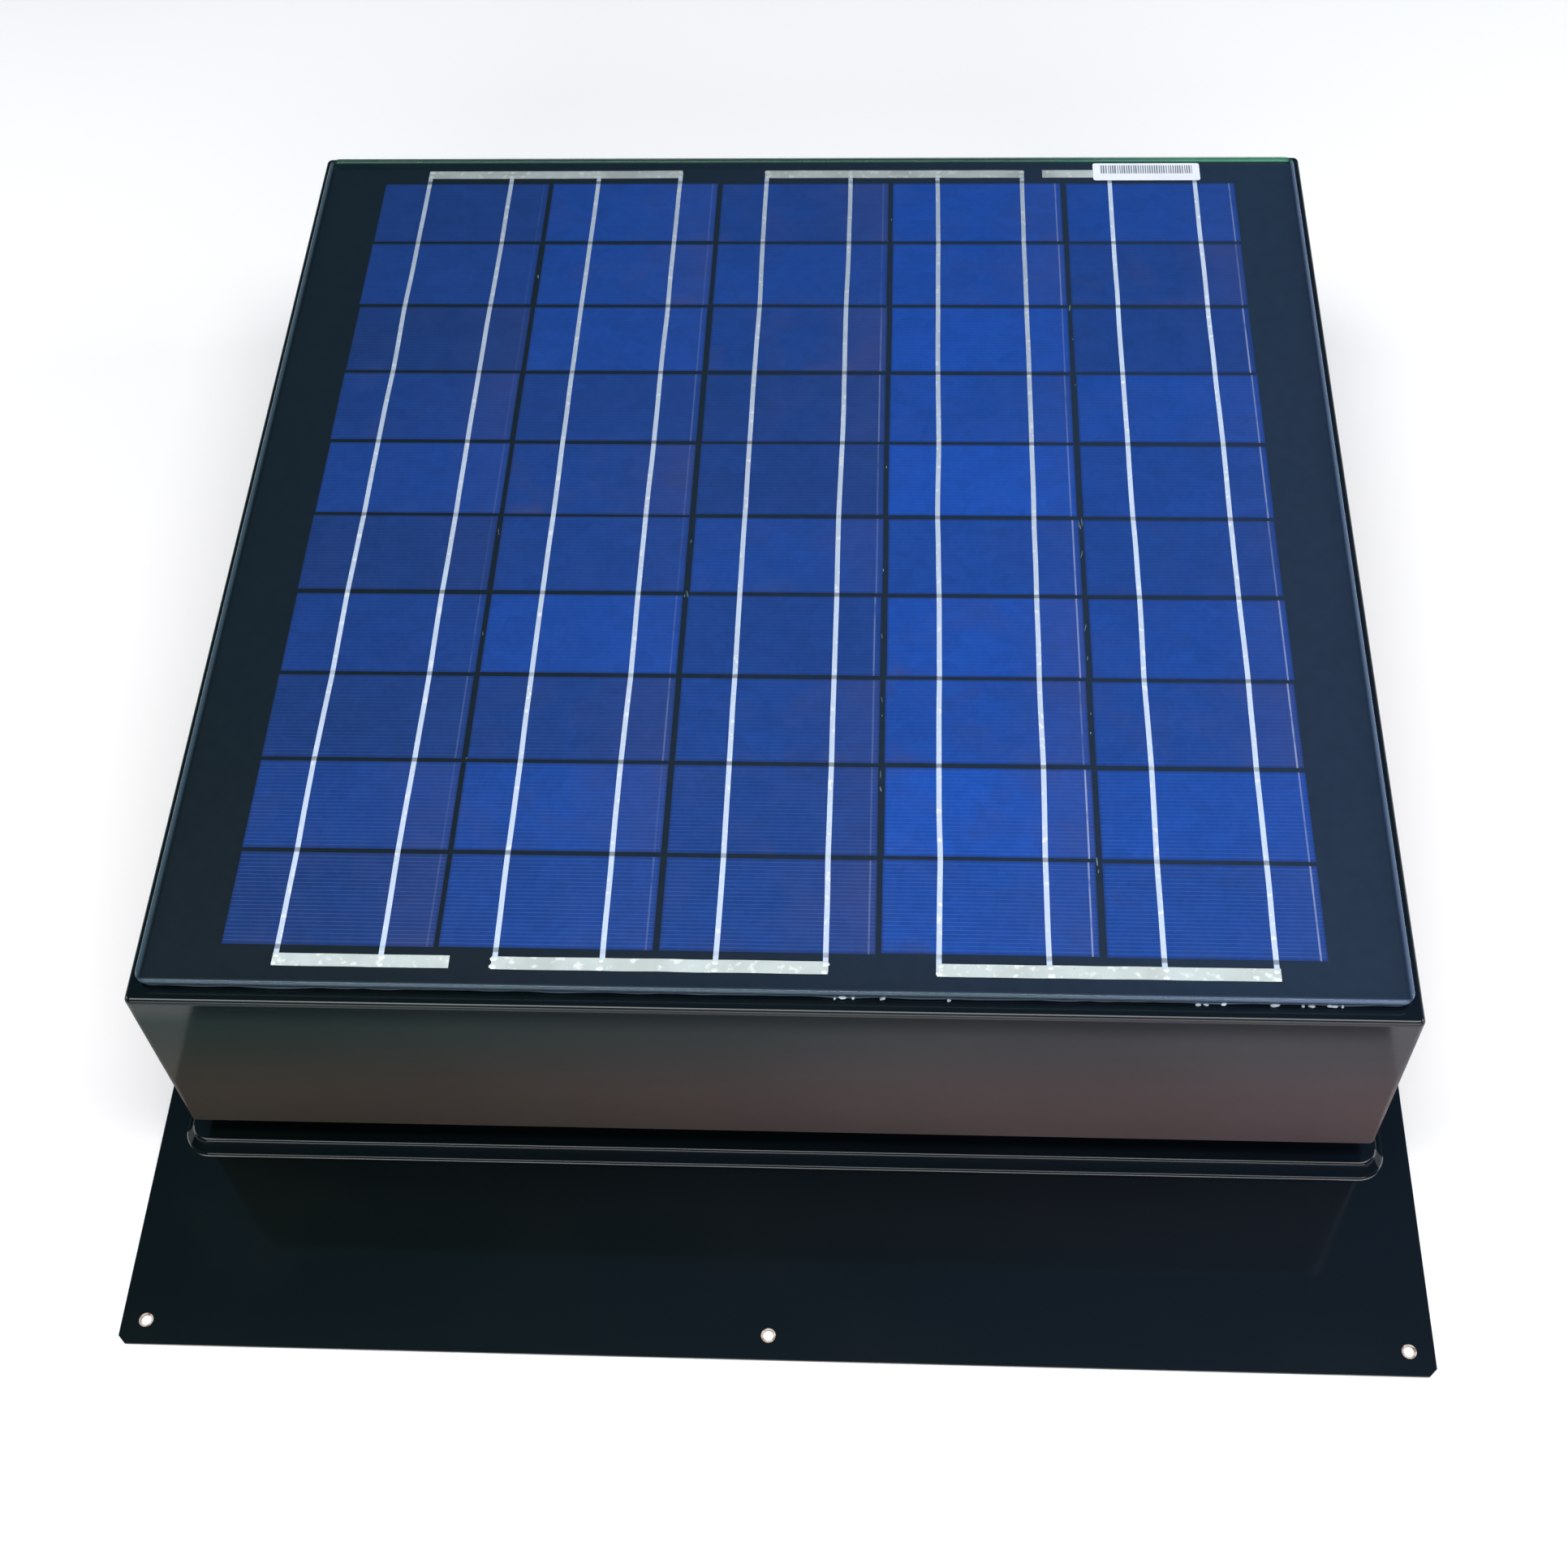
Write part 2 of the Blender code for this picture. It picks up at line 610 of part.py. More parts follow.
def make_bracket(material):
    """Flat spider across the throat: a round plate and three arms, each with a turned-up tab."""
    mesh_data = bmesh.new()
    half_angle = math.degrees(math.asin(ARM_HALF / PLATE_RADIUS))
    spacing = 360.0 / BRACKET_ARMS
    outline = []
    for angle in bracket_angles():
        along = polar(1.0, angle)
        side = Z_AXIS.cross(along)
        outline.append(along * ARM_REACH - side * ARM_HALF)
        outline.append(along * ARM_REACH + side * ARM_HALF)
        for step in range(7):
            turn = angle + half_angle + (spacing - 2 * half_angle) * step / 6
            outline.append(polar(PLATE_RADIUS, turn))
    face = mesh_data.faces.new([mesh_data.verts.new(point) for point in outline])
    raised = bmesh.ops.extrude_face_region(mesh_data, geom=[face])
    moved = [item for item in raised["geom"] if isinstance(item, bmesh.types.BMVert)]
    bmesh.ops.translate(mesh_data, verts=moved, vec=(0.0, 0.0, BRACKET_SHEET))
    for angle in bracket_angles():
        along = polar(1.0, angle)
        fold = ARM_REACH - BRACKET_SHEET
        everything = list(mesh_data.verts) + list(mesh_data.edges) + list(mesh_data.faces)
        bmesh.ops.bisect_plane(mesh_data, geom=everything, plane_co=along * fold, plane_no=along)
        bmesh.ops.recalc_face_normals(mesh_data, faces=mesh_data.faces)
        ends = [item for item in mesh_data.faces
                if item.normal.z > 0.9 and item.calc_center_median().dot(along) > fold]
        tab = bmesh.ops.extrude_face_region(mesh_data, geom=ends)
        moved = [item for item in tab["geom"] if isinstance(item, bmesh.types.BMVert)]
        bmesh.ops.translate(mesh_data, verts=moved, vec=(0.0, 0.0, TAB_HEIGHT))
        bmesh.ops.delete(mesh_data, geom=ends, context="FACES_ONLY")
    bmesh.ops.translate(mesh_data, verts=mesh_data.verts, vec=(0.0, 0.0, BRACKET_BASE))
    bracket = object_from("motor_bracket", mesh_data, material)
    for angle in motor_screw_angles():
        drill(bracket, polar(MOTOR_SCREW_CIRCLE, angle, BRACKET_BASE), RIVET_HOLE)
    for angle in bracket_angles():
        drill(bracket, polar(ARM_REACH, angle, tab_screw_z()), RIVET_HOLE, CUT_LENGTH, polar(1.0, angle))
    return bracket


# ---------------------------------------------------------------- motor
def motor_screw_angles():
    return [angle + 60.0 for angle in bracket_angles()]


def bearing_outline(base):
    bore = SHAFT_RADIUS + GAP
    top = base + BEARING_HEIGHT
    return [(bore, base), (BEARING_RADIUS, base), (BEARING_RADIUS, top), (bore, top)]


def make_motor(finishes):
    """Fixed half of the motor: end cap, can, stator and the two bearings."""
    seat = BEARING_RADIUS + GAP
    lower_bearing = SHAFT_BOTTOM
    pocket = lower_bearing - GAP
    cap_top = CAP_BASE + CAP_HEIGHT
    cap = turned("motor_end_cap", [
        (0.0, pocket), (seat, pocket), (seat, cap_top), (CAN_RADIUS, cap_top),
        (CAN_RADIUS, CAP_BASE + 0.001), (CAN_RADIUS - 0.001, CAP_BASE), (0.0, CAP_BASE)],
        finishes["motor_black"], 32, closed=False)
    for angle in motor_screw_angles():
        drill(cap, polar(MOTOR_SCREW_CIRCLE, angle, CAP_BASE), RIVET_HOLE, MOTOR_SCREW_DEPTH)

    inner = CAN_RADIUS - CAN_WALL
    roof = CAN_TOP - CAN_PLATE
    upper_bearing = roof - GAP - BEARING_HEIGHT
    boss = seat + CAN_BOSS
    outline = [(inner, CAN_BASE), (CAN_RADIUS, CAN_BASE)]
    outline += arc(CAN_RADIUS - CAN_BEND, CAN_TOP - CAN_BEND, CAN_BEND, 0, 90, 3)
    outline += [(CAN_SHAFT_HOLE, CAN_TOP), (CAN_SHAFT_HOLE, roof), (seat, roof), (seat, upper_bearing),
                (boss, upper_bearing), (boss, roof), (inner, roof)]
    turned("motor_can", outline, finishes["motor_black"], 32)
    turned("bearing_lower", bearing_outline(lower_bearing), finishes["bright_steel"], 16)
    turned("bearing_upper", bearing_outline(upper_bearing), finishes["bright_steel"], 16)
    make_stator(inner - 0.0005, finishes["stator_steel"])


def make_stator(radius, material):
    """Laminated stack with wound teeth around the rotor."""
    bore = STATOR_BORE
    root = radius - 0.0045
    base = CAN_BASE + 0.0030
    top = CAN_TOP - 0.0075
    mesh_data = bmesh.new()
    gap_shape = ((root, -13), (bore + 0.004, -13), (bore + 0.003, -21), (bore, -21), (bore, -7),
                 (bore, 7), (bore, 21), (bore + 0.003, 21), (bore + 0.004, 13), (root, 13), (root, 30))
    opening = []
    for tooth in range(STATOR_TEETH):
        middle = 360.0 / STATOR_TEETH * tooth
        opening += [polar(radial, middle + turn, base) for radial, turn in gap_shape]
    faces = fill_flat(mesh_data, [ring_of(mesh_data, circle_points((0, 0, base), radius, 36)),
                                  ring_of(mesh_data, opening)])
    raised = bmesh.ops.extrude_face_region(mesh_data, geom=faces)
    moved = [item for item in raised["geom"] if isinstance(item, bmesh.types.BMVert)]
    bmesh.ops.translate(mesh_data, verts=moved, vec=(0.0, 0.0, top - base))
    return object_from("stator", mesh_data, material)


# ---------------------------------------------------------------- fan
def wing_pitch(radius):
    """Blade angle: flat inside the hub disc, full at the root, easing off to the tip."""
    along = min(max((radius - WING_ROOT) / (WING_TIP - WING_ROOT), 0.0), 1.0)
    full = WING_PITCH[0] + (WING_PITCH[1] - WING_PITCH[0]) * along
    rise = min(max((radius - WING_RISE[0]) / (WING_RISE[1] - WING_RISE[0]), 0.0), 1.0)
    return math.radians(full * rise * rise * (3 - 2 * rise))


def wing_point(radius, across, drop=0.0):
    """A point of the blade surface at a radius, a distance across the blade and a drop below it."""
    pitch = wing_pitch(radius)
    turn = across * math.cos(pitch) / radius
    z = across * math.sin(pitch) + WING_CURVE * across * across - drop
    return Vector((radius * math.cos(turn), radius * math.sin(turn), z))


def surface_sheet(name, rows, thickness, offset, material):
    """A thin curved sheet from rows of points."""
    mesh_data = bmesh.new()
    grid = [[mesh_data.verts.new(point) for point in row] for row in rows]
    for near, far in zip(grid, grid[1:]):
        for i in range(len(near) - 1):
            mesh_data.faces.new((near[i], far[i], far[i + 1], near[i + 1]))
    return sheet_from(name, mesh_data, material, thickness, Z_AXIS, offset, 50.0)


def wing_rows():
    """Rows of the blade from root to tip; the tip's corners are rounded off."""
    rows = []
    for i in range(WING_ROWS + 1):
        along = i / WING_ROWS
        half = WING_HALF_CHORD[0] + (WING_HALF_CHORD[1] - WING_HALF_CHORD[0]) * math.sqrt(along)
        row = []
        for j in range(WING_FACETS + 1):
            side = 2 * j / WING_FACETS - 1
            radius = WING_ROOT + along * (WING_TIP - WING_ROOT - WING_CORNER * side ** 4)
            row.append(wing_point(radius, half * side))
        rows.append(row)
    return rows


def make_fan(finishes):
    """Turning half: shaft, rotor magnet, spider hub, blades, washer and nut on one axis."""
    axis = bpy.data.objects.new("fan_axis", None)
    bpy.context.scene.collection.objects.link(axis)
    pieces = []
    shaft = SHAFT_RADIUS
    pieces.append(turned("motor_shaft", [
        (0.0, SHAFT_TOP), (shaft - 0.0006, SHAFT_TOP), (shaft, SHAFT_TOP - 0.0006),
        (shaft, SHAFT_BOTTOM + 0.0005), (shaft - 0.0005, SHAFT_BOTTOM), (0.0, SHAFT_BOTTOM)],
        finishes["bright_steel"], 20, closed=False))
    bore = shaft + GAP
    magnet_low = CAN_BASE + 0.0045
    magnet_high = CAN_TOP - 0.0095
    pieces.append(turned("rotor_magnet", [
        (bore, magnet_low), (MAGNET_RADIUS, magnet_low), (MAGNET_RADIUS, magnet_high),
        (bore, magnet_high)],
        finishes["magnet"], 32))

    disc_low = WING_Z - WING_GAP - TONGUE_SHEET - 0.0005
    disc_high = WING_Z
    hub = turned("fan_hub", [
        (bore, HUB_BOTTOM), (HUB_BOSS, HUB_BOTTOM), (HUB_BOSS, disc_low), (HUB_RADIUS, disc_low),
        (HUB_RADIUS, disc_high), (HUB_BOSS, disc_high), (HUB_BOSS - 0.001, HUB_TOP), (bore, HUB_TOP)],
        finishes["galvanised"], 30)
    for wing in range(WING_COUNT):
        rows = [[wing_point(radius, TONGUE_HALF * (j - 1), WING_GAP) for j in range(3)]
                for radius in TONGUE_RADII]
        tongue = surface_sheet("tool", rows, TONGUE_SHEET, -1.0, finishes["galvanised"])
        tongue.location.z = WING_Z
        tongue.rotation_euler.z = 2 * math.pi / WING_COUNT * wing
        combine(hub, tongue, "UNION")
    pieces.append(hub)

    blade = surface_sheet("fan_blade_1", wing_rows(), WING_SHEET, 1.0, finishes["blade_aluminium"])
    blade.location.z = WING_Z
    pieces.append(blade)
    for wing in range(1, WING_COUNT):
        twin = copy_of(blade, "fan_blade_%d" % (wing + 1))
        twin.rotation_euler.z = 2 * math.pi / WING_COUNT * wing
        pieces.append(twin)

    washer_low = HUB_TOP + GAP
    washer_high = washer_low + WASHER_HEIGHT
    pieces.append(turned("hub_washer", [
        (bore, washer_low), (WASHER_RADIUS, washer_low), (WASHER_RADIUS, washer_high),
        (bore, washer_high)],
        finishes["bright_steel"], 24))
    nut_low = washer_high + GAP
    nut_high = nut_low + NUT_HEIGHT
    mesh_data = bmesh.new()
    middle = Matrix.Translation((0.0, 0.0, (nut_low + nut_high) / 2))
    bmesh.ops.create_cone(mesh_data, cap_ends=True, segments=6, radius1=NUT_RADIUS,
                          radius2=NUT_RADIUS, depth=NUT_HEIGHT, matrix=middle)
    nut = object_from("hub_nut", mesh_data, finishes["bright_steel"])
    drill(nut, (0.0, 0.0, nut_low), bore, CUT_LENGTH, Z_AXIS, 20)
    pieces.append(nut)
    for piece in pieces:
        piece.parent = axis


# ---------------------------------------------------------------- junction box
def make_junction_box(finishes):
    """Plastic box glued under the laminate, its lid, and the cable gland in its right wall."""
    plastic = finishes["box_plastic"]
    half_x, half_y = BOX_HALF
    floor = BOX_TOP - BOX_WALL
    in_x = half_x - BOX_WALL
    in_y = half_y - BOX_WALL
    box = rectangle_stack("junction_box", [
        (half_x, half_y, BOX_CORNER, BOX_TOP), (half_x, half_y, BOX_CORNER, BOX_BASE),
        (in_x, in_y, BOX_INNER_CORNER, BOX_BASE), (in_x, in_y, BOX_INNER_CORNER, floor)], plastic, 3)
    gland_place = Vector((half_x - BOX_WALL / 2, 0.0, LEAD_Z))
    drill(box, gland_place, GLAND_HOLE, CUT_LENGTH / 2, Vector((1.0, 0.0, 0.0)), 16)
    box.location.y = BOX_CENTRE_Y
    lid_top = BOX_BASE - GAP
    lid = rectangle_stack("junction_box_lid", [
        (half_x - LID_CHAMFER, half_y - LID_CHAMFER, BOX_CORNER, lid_top - BOX_LID),
        (half_x, half_y, BOX_CORNER, lid_top - BOX_LID + LID_CHAMFER),
        (half_x, half_y, BOX_CORNER, lid_top)], plastic, 3)
    lid.location.y = BOX_CENTRE_Y

    bore = LEAD_RADIUS + 0.0005
    inside = -BOX_WALL - 0.003
    gland = turned("cable_gland", [
        (bore, 0.0190), (0.0048, 0.0190), (0.0070, 0.0160), (0.0070, 0.0060), (0.0085, 0.0055),
        (0.0085, GAP), (0.0049, GAP), (0.0049, inside), (bore, inside)], plastic, 16)
    gland.rotation_euler.y = math.pi / 2
    gland.location = (half_x, BOX_CENTRE_Y, LEAD_Z)


# ---------------------------------------------------------------- leads
def smooth_route(corners, spacing):
    """Evenly spaced points on a smooth curve through the route's own points."""
    ends = [corners[0] * 2 - corners[1]] + corners + [corners[-1] * 2 - corners[-2]]
    fine = [corners[0]]
    for before, start, end, after in zip(ends, ends[1:], ends[2:], ends[3:]):
        for step in range(1, 21):
            t = step / 20
            fine.append(0.5 * (2 * start + (end - before) * t
                               + (2 * before - 5 * start + 4 * end - after) * t ** 2
                               + (3 * start - before - 3 * end + after) * t ** 3))
    length = sum((b - a).length for a, b in zip(fine, fine[1:]))
    count = max(2, round(length / spacing))
    points = [fine[0]]
    walked = 0.0
    for a, b in zip(fine, fine[1:]):
        walked += (b - a).length
        if walked >= length / count * len(points) - 1e-9 and len(points) < count:
            points.append(b)
    points.append(fine[-1])
    return points


def lead(name, points, material):
    """A round cable along a poly line."""
    curve = bpy.data.curves.new(name, "CURVE")
    curve.dimensions = "3D"
    curve.bevel_depth = LEAD_RADIUS
    curve.bevel_resolution = 2
    curve.use_fill_caps = True
    spline = curve.splines.new("POLY")
    spline.points.add(len(points) - 1)
    for slot, point in zip(spline.points, points):
        slot.co = (*point, 1.0)
    curve.materials.append(material)
    cable = bpy.data.objects.new(name, curve)
    bpy.context.scene.collection.objects.link(cable)
    return cable


def motor_lead_corners():
    """From the motor along its arm, out through the throat, up a post and back to the connector."""
    def near_arm(along, side, z):
        forward = polar(1.0, BRACKET_FIRST)
        return forward * along + Z_AXIS.cross(forward) * side + Z_AXIS * z

    def through_wall(radius, z):
        return polar(radius, GROMMET_ANGLE, z)

    on_arm = BRACKET_BASE + BRACKET_SHEET + GAP + CLIP_STAND
    on_step = PLATEAU_TOP + GAP + LEAD_RADIUS
    up_post = POST_FACE - POST_SHEET - GAP - CLIP_STAND
    return [
        near_arm(CAN_RADIUS + 0.0006, 0.0, 0.0270),
        near_arm(0.050, 0.0, 0.0262),
        near_arm(0.064, 0.0, 0.0206),
        near_arm(0.080, 0.0, on_arm),
        near_arm(0.096, 0.0, on_arm),
        near_arm(0.112, 0.001, on_arm - 0.0010),
        near_arm(0.140, 0.012, on_arm + 0.0010),
        through_wall(0.166, GROMMET_Z - 0.001),
        through_wall(THROAT_RADIUS, GROMMET_Z),
        through_wall(0.202, GROMMET_Z - 0.001),
        near_arm(0.228, 0.020, 0.0160),
        near_arm(0.258, 0.015, on_step),
        near_arm(0.290, 0.007, on_step),
        near_arm(0.318, 0.0, on_step + 0.0008),
        near_arm(0.338, 0.0, 0.0215),
        near_arm(up_post, 0.0, 0.0420),
        near_arm(up_post, 0.0, 0.0700),
        near_arm(up_post, 0.0, 0.0860),
        near_arm(up_post - 0.001, 0.0, 0.1080),
        near_arm(up_post - 0.011, 0.0, 0.1270),
        Vector((0.224, 0.222, 0.1370)),
        Vector((0.222, 0.188, LEAD_Z)),
        Vector((0.2205, 0.166, LEAD_Z)),
        Vector((0.213, 0.142, LEAD_Z)),
        Vector((0.197, 0.125, LEAD_Z)),
        Vector((CONNECTOR_START + 2 * CONNECTOR_LENGTH + 2 * GAP, BOX_CENTRE_Y, LEAD_Z)),
    ]


def panel_lead_corners():
    """From inside the junction box, through the gland and with a slight sag to the connector."""
    start = BOX_HALF[0] - 0.012
    return [
        Vector((start, BOX_CENTRE_Y, LEAD_Z)),
        Vector((BOX_HALF[0], BOX_CENTRE_Y, LEAD_Z)),
        Vector((BOX_HALF[0] + 0.018, BOX_CENTRE_Y, LEAD_Z)),
        Vector((0.100, BOX_CENTRE_Y, LEAD_Z - 0.0012)),
        Vector((CONNECTOR_START - GAP, BOX_CENTRE_Y, LEAD_Z)),
    ]


def make_clip(name, material, stand):
    """Saddle round the lead; the lead runs along Y and the foot reaches down by stand."""
    turn = Matrix.Rotation(math.pi / 2, 4, "X")
    clip = cylinder(CLIP_SLEEVE, CLIP_LENGTH, turn, 20)
    half = CLIP_LENGTH / 2 - GAP
    foot = block((-CLIP_FOOT_HALF, -half, -stand), (CLIP_FOOT_HALF, half, -CLIP_HOLE * 0.5))
    combine(clip, foot, "UNION")
    drill(clip, (0.0, 0.0, 0.0), CLIP_HOLE, CUT_LENGTH, Vector((0.0, 1.0, 0.0)), 16)
    clip.name = name
    clip.data.materials.clear()
    clip.data.materials.append(material)
    return clip


def make_wiring(finishes):
    """Two leads, the connector between them, the wall grommet and the clips."""
    spacing = 5 * LEAD_RADIUS
    lead("motor_lead", smooth_route(motor_lead_corners(), spacing), finishes["lead_rubber"])
    lead("panel_lead", smooth_route(panel_lead_corners(), spacing), finishes["lead_rubber"])

    body = CONNECTOR_RADIUS
    long = CONNECTOR_LENGTH
    half = turned("connector_socket", [
        (0.0, long), (body, long), (body, long - 0.004), (body - 0.0012, long - 0.005),
        (body - 0.0012, 0.009), (body, 0.008), (body, 0.004), (body - 0.002, 0.0), (0.0, 0.0)],
        finishes["box_plastic"], 14, closed=False)
    half.rotation_euler.y = math.pi / 2
    half.location = (CONNECTOR_START, BOX_CENTRE_Y, LEAD_Z)
    plug = copy_of(half, "connector_plug")
    plug.rotation_euler.y = -math.pi / 2
    plug.location.x = CONNECTOR_START + 2 * long + GAP

    groove = 0.0038
    wide = 0.0060
    wall = SHEET / 2 + GAP
    grommet = turned("lead_grommet", [
        (CLIP_HOLE, -0.0035), (wide - 0.001, -0.0035), (wide, -wall), (groove, -wall),
        (groove, wall), (wide, wall), (wide - 0.001, 0.0035), (CLIP_HOLE, 0.0035)],
        finishes["lead_rubber"], 16)
    grommet.rotation_mode = "QUATERNION"
    grommet.rotation_quaternion = polar(1.0, GROMMET_ANGLE).to_track_quat("Z", "Y")
    grommet.location = polar(THROAT_FACE + SHEET / 2, GROMMET_ANGLE, GROMMET_Z)

    plastic = finishes["clip_plastic"]
    arm_clip = make_clip("lead_clip_arm", plastic, CLIP_STAND)
    on_arm = BRACKET_BASE + BRACKET_SHEET + GAP + CLIP_STAND
    arm_clip.location = polar(ARM_CLIP_RADIUS, BRACKET_FIRST, on_arm)
    arm_clip.rotation_euler.z = math.radians(BRACKET_FIRST - 90)

    post_clip = make_clip("lead_clip_post", plastic, CLIP_STAND)
    outward = polar(1.0, BRACKET_FIRST)
    frame = Matrix((outward.cross(Z_AXIS), Z_AXIS, -outward)).transposed()
    post_clip.rotation_euler = frame.to_euler()
    post_clip.location = outward * (POST_FACE - POST_SHEET - GAP - CLIP_STAND) + Z_AXIS * POST_CLIP_Z

    hood_clip = make_clip("lead_clip_hood", plastic, HOOD_UNDER - GAP - LEAD_Z)
    hood_clip.rotation_euler = (0.0, math.pi, math.radians(HOOD_CLIP_TURN))
    hood_clip.location = (*HOOD_CLIP_PLACE, LEAD_Z)


# ---------------------------------------------------------------- fasteners
def make_rivet(name, grip, material):
    """Domed rivet, seated at z = 0 with its head up; grip is what it holds."""
    outline = [(0.0, 0.0012), (RIVET_HEAD * 0.5, 0.0010), (RIVET_HEAD, 0.0), (RIVET_SHANK, 0.0),
               (RIVET_SHANK, -grip), (0.0032, -grip), (0.0026, -grip - 0.0014), (0.0, -grip - 0.0016)]
    return turned(name, outline, material, RIVET_SIDES, closed=False)


def make_screw(name, length, material):
    """Pan-head screw, seated at z = 0 with its head up."""
    outline = [(0.0, 0.0022), (0.0028, 0.0020), (0.0040, 0.0009), (0.0040, 0.0),
               (RIVET_SHANK, 0.0), (RIVET_SHANK, -length + 0.001), (0.0012, -length), (0.0, -length)]
    return turned(name, outline, material, RIVET_SIDES, closed=False)


def place_copies(first, label, seats):
    """One copy of a fastener at each (seat, direction its head faces)."""
    for name, (seat, facing) in seats.items():
        item = copy_of(first, label + "_" + name)
        item.rotation_mode = "QUATERNION"
        item.rotation_quaternion = facing.to_track_quat("Z", "Y")
        item.location = seat
    bpy.data.objects.remove(first, do_unlink=True)


def make_fasteners(finishes):
    steel = finishes["bright_steel"]
    places = list(post_angles())
    grip = SHEET + GAP + POST_SHEET + 2 * GAP
    seats = {}
    for place, centre in zip(places, hood_rivet_centres()):
        seats[place] = (centre + Z_AXIS * (HOOD_TOP + GAP), Z_AXIS)
    place_copies(make_rivet("rivet", grip, steel), "hood_rivet", seats)

    seats = {}
    for place, centre in zip(places, foot_rivet_centres()):
        seats[place] = (centre + Z_AXIS * (PLATEAU_TOP + GAP + POST_SHEET + GAP), Z_AXIS)
    place_copies(make_rivet("rivet", grip, steel), "foot_rivet", seats)

    seats = {}
    for place, centre in zip(("right", "back", "left", "front"), throat_rivet_centres()):
        seats[place] = (centre + Z_AXIS * (THROAT_BASE + SHEET + GAP), Z_AXIS)
    place_copies(make_rivet("rivet", SHEET + GAP + SHEET + 2 * GAP, steel), "throat_rivet", seats)

    seats = {}
    inner_face = ARM_REACH - BRACKET_SHEET - GAP
    for number, angle in enumerate(bracket_angles(), 1):
        seats[str(number)] = (polar(inner_face, angle, tab_screw_z()), -polar(1.0, angle))
    place_copies(make_screw("screw", BRACKET_SCREW_LENGTH, steel), "bracket_screw", seats)

    seats = {}
    for number, angle in enumerate(motor_screw_angles(), 1):
        seats[str(number)] = (polar(MOTOR_SCREW_CIRCLE, angle, BRACKET_BASE - GAP), -Z_AXIS)
    place_copies(make_screw("screw", MOTOR_SCREW_LENGTH, steel), "motor_screw", seats)


# ---------------------------------------------------------------- assembly
def main():
    clear_scene()
    finishes = make_finishes()
    make_flashing(finishes["black_paint"])
    make_hood(finishes["black_paint"])
    make_panel(finishes)
    make_throat(finishes)
    make_posts(finishes["galvanised"])
    make_screens(finishes["screen_steel"])
    make_bracket(finishes["galvanised"])
    make_motor(finishes)
    make_fan(finishes)
    make_junction_box(finishes)
    make_wiring(finishes)
    make_fasteners(finishes)


main()
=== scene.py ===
import json
import math
import random

import bmesh
import bpy
from mathutils import Matrix, Vector, noise

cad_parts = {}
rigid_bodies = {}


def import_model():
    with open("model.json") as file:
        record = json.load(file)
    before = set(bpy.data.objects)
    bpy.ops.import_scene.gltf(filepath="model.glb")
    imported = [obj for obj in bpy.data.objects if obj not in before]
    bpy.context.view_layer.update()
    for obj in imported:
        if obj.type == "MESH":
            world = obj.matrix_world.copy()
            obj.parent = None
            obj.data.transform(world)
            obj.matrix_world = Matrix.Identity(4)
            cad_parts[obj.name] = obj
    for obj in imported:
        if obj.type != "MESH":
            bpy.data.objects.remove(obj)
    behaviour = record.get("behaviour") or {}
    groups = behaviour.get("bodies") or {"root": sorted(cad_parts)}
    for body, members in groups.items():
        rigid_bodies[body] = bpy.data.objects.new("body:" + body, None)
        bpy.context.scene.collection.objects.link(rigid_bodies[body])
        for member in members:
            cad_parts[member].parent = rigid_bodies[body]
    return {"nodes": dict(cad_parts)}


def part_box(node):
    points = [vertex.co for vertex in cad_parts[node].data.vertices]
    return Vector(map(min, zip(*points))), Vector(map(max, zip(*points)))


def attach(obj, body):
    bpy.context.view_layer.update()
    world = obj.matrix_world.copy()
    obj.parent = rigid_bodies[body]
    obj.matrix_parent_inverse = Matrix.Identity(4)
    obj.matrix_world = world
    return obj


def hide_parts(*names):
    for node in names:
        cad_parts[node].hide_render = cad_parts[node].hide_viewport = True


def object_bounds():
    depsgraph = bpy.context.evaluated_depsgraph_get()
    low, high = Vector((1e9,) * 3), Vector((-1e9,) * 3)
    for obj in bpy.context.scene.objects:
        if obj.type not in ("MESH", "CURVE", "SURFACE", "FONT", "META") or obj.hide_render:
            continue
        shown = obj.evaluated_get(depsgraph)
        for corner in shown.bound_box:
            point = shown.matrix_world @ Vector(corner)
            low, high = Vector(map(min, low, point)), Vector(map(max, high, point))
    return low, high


# Looks of a solar attic fan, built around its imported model. Metres, +Z up, -Y is the front.
# Every piece sits at the origin with its place in its mesh.

for thing in list(bpy.data.objects):
    bpy.data.objects.remove(thing, do_unlink=True)
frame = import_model()
CAD_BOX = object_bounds()
MM = 0.001
UP = Vector((0.0, 0.0, 1.0))
CHANCE = random.Random(14)

# ---- sizes
SHEET = 1.0 * MM
HOOD_BEND = 2.5 * MM
HOOD_CORNER = 3.5 * MM
HEM_RADIUS = 1.1 * MM
HEM_HEIGHT = 10 * MM
STEP_HALF = 316.5 * MM
STEP_RISE = 8.0 * MM
STEP_LEAN = 4.5 * MM
STEP_CORNER = 14 * MM
STEP_BEND = 2.2 * MM
PLATE_CHAMFER = 4.0 * MM
HOLE_RADIUS = 2.8 * MM
HOLE_INSET = 12.5 * MM
HOLE_RIM = 0.9 * MM
THROAT_RADIUS = 184 * MM
THROAT_SIDES = 144
THROAT_LIP = 6.0 * MM
GLASS_ROUND = 1.2 * MM
PANEL_CORNER = 6.0 * MM
BOX_MARGIN = 3 * MM

